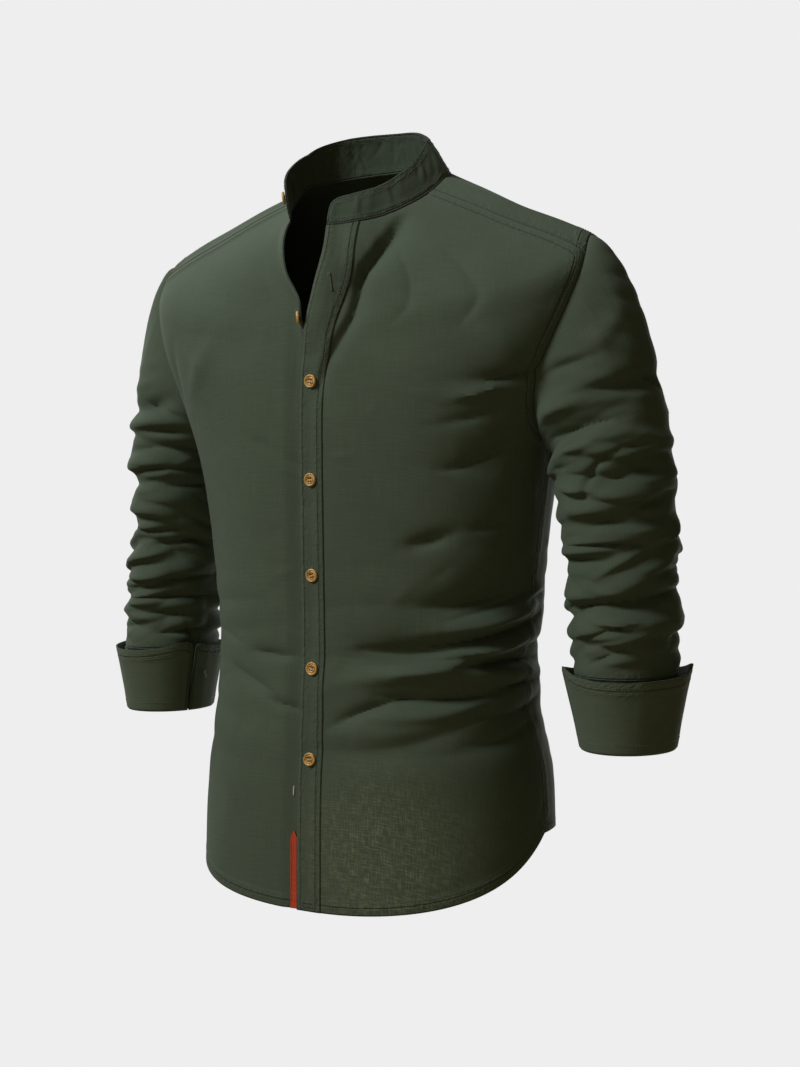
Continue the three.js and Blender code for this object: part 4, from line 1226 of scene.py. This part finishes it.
def cuff_point(side, row, turn):
    """A cuff point by its place along the profile, which may lie between two rows."""
    index = np.arange(len(CUFF_PROFILE["z"]))
    at = {name: np.interp(row, index, CUFF_PROFILE[name]) for name in CUFF_PROFILE}
    k = ((turn - CUFF["slit"] - CUFF["slitHalf"]) % 360) / CUFF_SWEEP
    from_end = np.minimum(k, 1 - k) * CUFF_SWEEP * DEG * CUFF["round"]
    near = np.clip(from_end / CUFF["corner"], 0, 1)
    rise = -0.5 * CUFF["corner"] * (1 - np.sqrt(1 - (1 - near) ** 2))
    out = np.zeros(np.shape(turn))
    for edge in rows_of(FLAP_EDGE):
        swell = bell(gap_between(turn, edge["turn"]) / edge["width"])
        out = out + edge["out"] * swell
        rise = rise + edge["rise"] * swell
    x = cuff_centre(side)[0] + side * (at["halfX"] + out * at["flap"]) * np.cos(turn * DEG)
    y = CUFF["y"] - (at["halfY"] + out * at["flap"]) * np.sin(turn * DEG)
    return np.stack(np.broadcast_arrays(x, y, at["z"] + rise * at["flap"]), -1)


def cuff(name, side):
    turns = CUFF_START + CUFF_SWEEP * steps(110)
    last = len(CUFF_PROFILE["z"]) - 1
    rows = np.linspace(0, last, 4 * last + 1)
    grid = cuff_point(side, rows[:, None], turns[None])
    draw = np.random.default_rng(SEED + 9 + side)
    wave = np.zeros(grid.shape[:2])
    flap = np.interp(rows, np.arange(last + 1), CUFF_PROFILE["flap"])[:, None]
    for _ in range(26):
        place, wide = draw.uniform(160, 520), draw.uniform(4, 14)
        wave += draw.uniform(-0.9, 0.9) * bell((turns[None] - place) / wide) * (
            0.25 + draw.uniform(0, 1) * flap)
    profile_body(name, grid + level_away(grid, cuff_centre(side)) * wave[..., None])


def profile_body(name, grid):
    """A closed body from a closed profile (rows) carried along columns, with flat ends."""
    rows, width = grid.shape[:2]
    middle = grid[:, width // 2, 2]
    crest, foot = grid[np.argmax(middle + 0.01 * np.arange(rows))], grid[np.argmin(middle)]
    field = seam_field(grid, [(crest, CUFF_STITCHES), (foot, ()), (grid[:, 0], (3.0,)),
                              (grid[:, -1], (3.0,))])
    uv = np.concatenate([arc_uv(grid, False), field], -1)
    uv = np.concatenate([uv, uv[:1]])
    corners = quad_corners(rows, width - 1)
    points = grid.reshape(-1, 3)
    faces, uvs, way = turned_out(points, np.stack([a % rows * width + b for a, b in corners], 1),
                                 np.stack([uv[a, b] for a, b in corners], 1))
    faces, uvs = faces.tolist(), uvs.reshape(-1, 4).tolist()
    for col, turn in ((0, way), (width - 1, -way)):
        for i in range(rows // 2 - 1):
            quad = [i, i + 1, rows - 2 - i, rows - 1 - i][::turn]
            faces.append([q * width + col for q in quad])
            uvs += [uv[q, col].tolist() for q in quad]
    declare(mesh_object(name, points, faces, LIGHT_PAINTED_CUFF_CLOTH, np.array(uvs)), name)


# ---------------------------------------------------------------- stitches

def ring_faces(rings, sides, way=1):
    """The quads between rings of points, and a face over each end."""
    faces = []
    for ring in range(rings - 1):
        for s in range(sides):
            a, b = ring * sides + s, ring * sides + (s + 1) % sides
            faces.append([a, b, b + sides, a + sides] if way > 0
                         else [a, a + sides, b + sides, b])
    last = [(rings - 1) * sides + s for s in range(sides)]
    return faces + [list(range(sides))[::-way], last[::way]]


def capsules(name, starts, ends, normals, radius, material, flat=0.6):
    """Short threads, each a rounded six-sided bar lying on the cloth."""
    sides = 6
    profile = ((-0.5, 0.35), (-0.36, 0.9), (0.36, 0.9), (0.5, 0.35))
    along = ends - starts
    length = np.linalg.norm(along, axis=1, keepdims=True)
    tangent = unit(along)
    normal = unit(normals - tangent * np.sum(normals * tangent, 1, keepdims=True))
    across = np.cross(tangent, normal)
    middle = 0.5 * (starts + ends)
    points = np.stack([middle + tangent * length * place + radius * size * (
        across * math.cos(angle) + normal * flat * math.sin(angle))
        for place, size in profile for angle in np.arange(sides) * 2 * np.pi / sides], 1)
    one = ring_faces(len(profile), sides)
    every = [[i * points.shape[1] + v for v in face] for i in range(len(points)) for face in one]
    obj = mesh_object(name, points.reshape(-1, 3), every, material, smooth_angle=80)


def stitch_run(points, normals, pitch=2.9, share=0.72, lift=0.12):
    """Start, end and normal of each stitch along a line of points."""
    run = run_length(points)
    count = max(1, int(run[-1] / pitch))
    at = np.arange(count) * run[-1] / count

    def on(values, where):
        return np.stack([np.interp(where, run, values[:, i]) for i in range(3)], 1)

    normal = unit(on(normals, at))
    return (on(points, at) + normal * lift,
            on(points, at + share * run[-1] / count) + normal * lift, normal)


def surface_line(surface, phi, level):
    return surface(phi, level), outward(phi, level)


def stitches(name, *lines):
    start, end, normal = (np.concatenate(part) for part in zip(*(stitch_run(*x) for x in lines)))
    capsules(name, start, end, normal, 0.34, THREAD)


def body_stitches():
    levels = np.linspace(NECK_LEVEL + 3, HEM_LEVEL, 500)
    stitches("placket_stitches", *(
        surface_line(LAPPED, edge_phi(LEFT_EDGE, name, levels, inset), levels)
        for name, inset in (("free", 5), ("seam", -5))))

    levels = np.linspace(NECK_LEVEL + 3, level_at_drop(205), 120)
    phi = edge_phi(RIGHT_EDGE, "free", levels, -3)
    stitches("stand_stitches", surface_line(under_skin, phi, levels))

    lines = []
    for side in (1, -1):
        for surface, start, end, count in ((LAPPED, ARMHOLE["shoulder"], 178, 140),
                                           (LAPPED, ARMHOLE["shoulder"], ARMHOLE["yoke"], 60),
                                           (skin, ARMHOLE["yoke"], -178, 120)):
            phi, level = armhole(np.linspace(start, end, count), ARM_STITCH)
            lines.append(surface_line(surface, side * phi, level))
    stitches("armhole_stitches", *lines)

    end_phi, end_level = armhole(ARMHOLE["shoulder"])
    k = np.linspace(0.02, 0.97, 60)
    lines = [surface_line(LAPPED, side * mix(SHOULDER_SEAM_NECK + 1.6, end_phi + 1.4, k),
                          mix(NECK_LEVEL, end_level, k) + 0.5) for side in (1, -1)]
    phi, level = back_place(np.zeros(1), np.linspace(0.02, 0.98, 200), *armhole(ARMHOLE["yoke"]))
    stitches("yoke_stitches", *lines, surface_line(LAPPED, phi, level - YOKE_STITCH))

    levels = np.linspace(PIT_LEVEL + 4, HEM_LEVEL - 14, 220)
    stitches("side_stitches", *(
        surface_line(skin, np.full(levels.shape, side * (90 + inset / ARMHOLE_MM_PER_DEGREE)),
                     levels) for side in (1, -1) for inset in SIDE_STITCHES))

    lines = []
    for surface, edge, past, end in ((skin, LEFT_EDGE, 0, 180), (under_skin, RIGHT_EDGE, 5, -180)):
        phi = np.linspace(edge_phi(edge, "seam", HEM_LEVEL) - past, end, 260)
        lines.append(surface_line(surface, phi, np.full(phi.shape, HEM_LEVEL - HEM_STITCH)))
    stitches("hem_stitches", *lines)


def band_stitches():
    _, run, grid = collar_grid()
    away = level_away(grid, NECK_CENTRE)[0]
    top = grid[-1] - grid[0]
    tall = np.linalg.norm(top, axis=1, keepdims=True)
    lines = []
    for inset, swell in ((2.0, 0.35), (7.0, 0.8)):
        keep = (run > inset) & (run < run[-1] - inset)
        upper = (grid[-1] - top / tall * inset)[keep]
        lower = (grid[0] + top / tall * inset)[keep]
        bulge, out = COLLAR_BULGE * swell, away[keep]
        lines += [(upper + out * bulge, out), (upper - out * (COLLAR_WALL - bulge), -out),
                  (lower + out * bulge, out)]
    stitches("collar_stitches", *lines)

    lines = []
    for side in (1, -1):
        places = [(np.full(240, row), CUFF_START + np.linspace(4, 350, 240))
                  for row in (8.8, 8.55, 6.2)]
        places += [(np.linspace(6.3, 8.75, 40), np.full(40, CUFF_START + end))
                   for end in (3.5, 350.5)]
        for rows, turns in places:
            line = cuff_point(side, rows, turns)
            lines.append((line, level_away(line, cuff_centre(side))))
    stitches("cuff_stitches", *lines)


# ---------------------------------------------------------------- buttons

def button_mesh(name):
    """A turned disc with four holes cut through, in millimetres, its face along +Z."""
    sides = 64
    angles = [2 * math.pi * s / sides for s in range(sides)]
    points = [(MM * (radius * math.cos(a)), MM * (radius * math.sin(a)), MM * height)
              for radius, height in BUTTON_PROFILE for a in angles]
    mesh = bpy.data.meshes.new(name)
    mesh.from_pydata(points, [], ring_faces(len(BUTTON_PROFILE), sides, -1))
    body = bpy.data.objects.new(name, mesh)
    bpy.context.scene.collection.objects.link(body)
    for x in (-1, 1):
        for y in (-1, 1):
            bpy.ops.mesh.primitive_cylinder_add(
                vertices=18, radius=HOLE_RADIUS * MM, depth=12 * MM,
                location=(x * HOLE_SPREAD * MM, y * HOLE_SPREAD * MM, 0))
            pin = bpy.context.object
            cut = body.modifiers.new("hole", "BOOLEAN")
            cut.operation, cut.object, cut.solver = "DIFFERENCE", pin, "EXACT"
            bpy.context.view_layer.objects.active = body
            bpy.ops.object.modifier_apply(modifier=cut.name)
            bpy.data.objects.remove(pin)
    mesh = body.data
    bpy.data.objects.remove(body)
    mesh.materials.clear()
    mesh.materials.append(WOOD)
    mesh.shade_smooth()
    mesh.set_sharp_from_angle(angle=60 * DEG)
    return mesh


BUTTON_MESH = button_mesh("turned_button")


def seat(node):
    """Where a CAD button sits: the middle of its back face and the way that it faces."""
    co = np.array([v.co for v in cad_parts[node].data.vertices]) / MM
    centre = 0.5 * (co.max(0) + co.min(0))
    axis = np.linalg.svd(co - co.mean(0))[2][2]
    if np.dot(axis, centre - (NECK_CENTRE + [0, 0, centre[2]])) < 0:
        axis = -axis
    return centre + axis * ((co - centre) @ axis).min(), axis


def placed(x, y, z, origin):
    """The matrix with these axes at an origin in metres."""
    return Matrix([*np.column_stack([x, y, z, origin]).tolist(), (0, 0, 0, 1)])


def button(node, turn, threads):
    place, axis = seat(node)
    right = unit(np.cross([0, 0, 1.0], axis))
    matrix = (placed(right, np.cross(axis, right), axis, place * MM)
              @ Matrix.Rotation(turn * DEG, 4, "Z"))
    mesh = BUTTON_MESH.copy()
    mesh.name = node
    mesh.transform(matrix)
    obj = riding(node + "_turned", mesh)
    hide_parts(node)
    basis = np.array(matrix.to_3x3())

    def thread(a, b, normal, radius):
        threads.append((place + basis @ np.array(a), place + basis @ np.array(b), normal, radius))

    for x in (-HOLE_SPREAD, HOLE_SPREAD):
        for y in (-HOLE_SPREAD, HOLE_SPREAD):
            thread([x, y - 0.2, 2.0], [-x, y + 0.2, 2.0], axis, 0.42)
    for y in (HOLE_SPREAD, -HOLE_SPREAD):
        for x in (HOLE_SPREAD, -HOLE_SPREAD):
            thread([x, y, -0.9], [x, y, 2.2], unit(np.array([axis[1], -axis[0], 0.1])), 0.5)


def buttonhole(lines, surface, x, drop):
    """The rows of thread either side of a buttonhole's slit, and a bar at each end."""
    level = level_at_drop(drop)
    phi = phi_at(x, level)
    centre = surface(phi, level)
    normal = outward(phi, level)
    down = unit(surface(phi, level + 1.0) - surface(phi, level - 1.0))
    side = np.cross(normal, down)
    for s in (-1, 1):
        for at in np.arange(-HOLE_HALF, HOLE_HALF, 0.55):
            lines.append((centre + down * at + side * s * 0.35,
                          centre + down * (at + 0.1) + side * s * 1.5, normal, 0.3))
    for at in (-HOLE_HALF, HOLE_HALF):
        for shift in (-0.3, 0.3):
            end = centre + down * (at + shift)
            lines.append((end - side * 1.6, end + side * 1.6, normal, 0.3))


def bars(name, lines, material):
    start, end, normal, radius = (np.array(part) for part in zip(*lines))
    capsules(name, start, end, normal, radius[:, None], material, 0.9)


def buttons():
    threads, holes = [], []
    for i, turn in enumerate(BUTTON_TURNS):
        button(f"button_{i + 1}", turn, threads)
    bars("button_threads", threads, DARK_THREAD)
    placket = raised(skin, LAP + 0.1)
    for x, drop in (*((0.5, drop) for drop in CLOSED_BUTTON_DROPS), (18.5, 107)):
        buttonhole(holes, placket, x, drop)
    bars("buttonholes", holes, THREAD)


# ---------------------------------------------------------------- tape, label, bar tacks

def tape():
    top = level_at_drop(TAPE["topDrop"])
    k = steps(40)
    level = mix(top, HEM_LEVEL, k)[:, None]
    fill = np.minimum(1, 0.1 + k * 9)[:, None]
    middle, half = 0.5 * (TAPE["left"] + TAPE["right"]), 0.5 * (TAPE["left"] - TAPE["right"])
    phi = phi_at(middle + half * fill * np.linspace(-1, 1, 9)[None], level)
    level = np.broadcast_to(level, phi.shape)
    surface = raised(under_skin, TAPE["lift"])
    shell("hem_tape", surface(phi, level), 0.7, outward(phi, level), TAPE_CLOTH)
    levels = np.linspace(top + 6, HEM_LEVEL - 3, 60)
    stitches("tape_stitches", *(surface_line(surface, phi_at(x, levels), levels)
                                for x in (TAPE["left"] - 0.9, TAPE["right"] + 0.9)))


def pale_tacks():
    """A short bar above the tape, and the thread cross that shows on the right cuff."""
    level = level_at_drop(TACK["drop"])
    phi = phi_at(TACK["x"], level)
    surface = raised(under_skin, 0.5)
    lines = [(surface(phi, level - 3) + [shift, 0, 0], surface(phi, level + 3) + [shift, 0, 0],
              outward(phi, level), 0.35) for shift in (-0.45, 0, 0.45)]
    right = np.array([0.8, 0.55, 0])
    for turn, rise in CROSS_PLACES:
        middle = cuff_point(-1, CROSS_ROW, CROSS_TURN + turn)
        out = unit(middle - [-CUFF["rightX"], CUFF["y"], middle[2]])
        middle = middle + out * 0.9 + [0, 0, rise]
        for way in (-1, 1):
            reach = right * 1.5 + [0, 0, 2.2 * way]
            lines.append((middle - reach, middle + reach, out, 0.32))
    bars("pale_tacks", lines, PALE_THREAD)


def label():
    level = (NECK_LEVEL + np.linspace(5, 27, 14))[:, None]
    phi = 180 - phi_at(np.linspace(-40, 40, 40)[None], level)
    level = np.broadcast_to(level, phi.shape)
    outer = raised(skin, -CLOTH - 1.6)(phi, level)
    shell("neck_label", outer, 0.8, outward(phi, level), LABEL_CLOTH)


# ---------------------------------------------------------------- studio

def studio():
    """Camera at the photograph's angle, soft key from the upper left, and a pale surround."""
    scene = bpy.context.scene
    azimuth, rise = VIEW["azimuth"] * DEG, VIEW["rise"] * DEG
    right = np.array([math.cos(azimuth), math.sin(azimuth), 0])
    forward = np.array([-math.sin(azimuth) * math.cos(rise), math.cos(azimuth) * math.cos(rise),
                        -math.sin(rise)])
    target = right * VIEW["aside"] + np.array([0, 0, VIEW["height"]])
    data = bpy.data.cameras.new("camera")
    data.sensor_width = VIEW["sensor"]
    data.lens = VIEW["sensor"] * VIEW["focalPx"] / VIEW["framePx"]
    data.clip_end = 50
    camera = bpy.data.objects.new("camera", data)
    camera.matrix_world = placed(right, np.cross(right, forward), -forward,
                                 (target - VIEW["distance"] * forward) * MM)
    scene.collection.objects.link(camera)
    scene.camera = camera

    for name, along, side, height, size, watts, colour in LIGHTS:
        spot = target * MM - forward * along + right * side + np.array([0, 0, height])
        light = bpy.data.lights.new(name, "AREA")
        light.shape, light.size, light.energy, light.color = "SQUARE", size, watts, colour
        obj = bpy.data.objects.new(name, light)
        aim = Vector(target * MM - spot).to_track_quat("-Z", "Y").to_matrix().to_4x4()
        obj.matrix_world = Matrix.Translation(Vector(spot)) @ aim
        scene.collection.objects.link(obj)

    world = bpy.data.worlds.new("surround")
    world.use_nodes = True
    sky = world.node_tree.nodes["Background"].inputs
    sky["Color"].default_value, sky["Strength"].default_value = (1.0, 0.82, 0.50, 1), 0.10
    scene.world = world
    scene.view_settings.view_transform = "Standard"

    pale = Shader("pale_surround")
    glow = pale.add("Emission", {"Color": (0.855, 0.855, 0.855, 1), "Strength": 1.0})
    pale.feed(pale.nodes["Material Output"], {"Surface": glow.outputs["Emission"]})
    pale.nodes.remove(pale.bsdf)
    bpy.ops.mesh.primitive_circle_add(vertices=96, radius=12, fill_type="NGON",
                                      location=(0, 0, -0.95))
    floor = bpy.context.object
    floor.name = "floor"
    bpy.ops.mesh.primitive_uv_sphere_add(segments=48, ring_count=24, radius=12)
    dome = bpy.context.object
    dome.name = "backdrop"
    for obj in (floor, dome):
        obj.data.materials.append(pale.material)
        obj.visible_diffuse = obj.visible_glossy = False
        obj.visible_shadow = obj.visible_transmission = False


front("front_left", LEFT_EDGE, skin, 1)
front("front_right", RIGHT_EDGE, under_skin, -1)
strip("placket_left", LEFT_EDGE, LAPPED, steps(12), 4.6, 5.4)
strip("button_stand_right", RIGHT_EDGE, under_skin, steps(10), 4.6)
back_panel()
yoke()
collar()
sleeve("sleeve_left", 1, LEFT_ROLLS, LEFT_PLEATS)
sleeve("sleeve_right", -1, RIGHT_ROLLS, RIGHT_PLEATS)
cuff("cuff_left", 1)
cuff("cuff_right", -1)
body_stitches()
band_stitches()
buttons()
tape()
pale_tacks()
label()
studio()
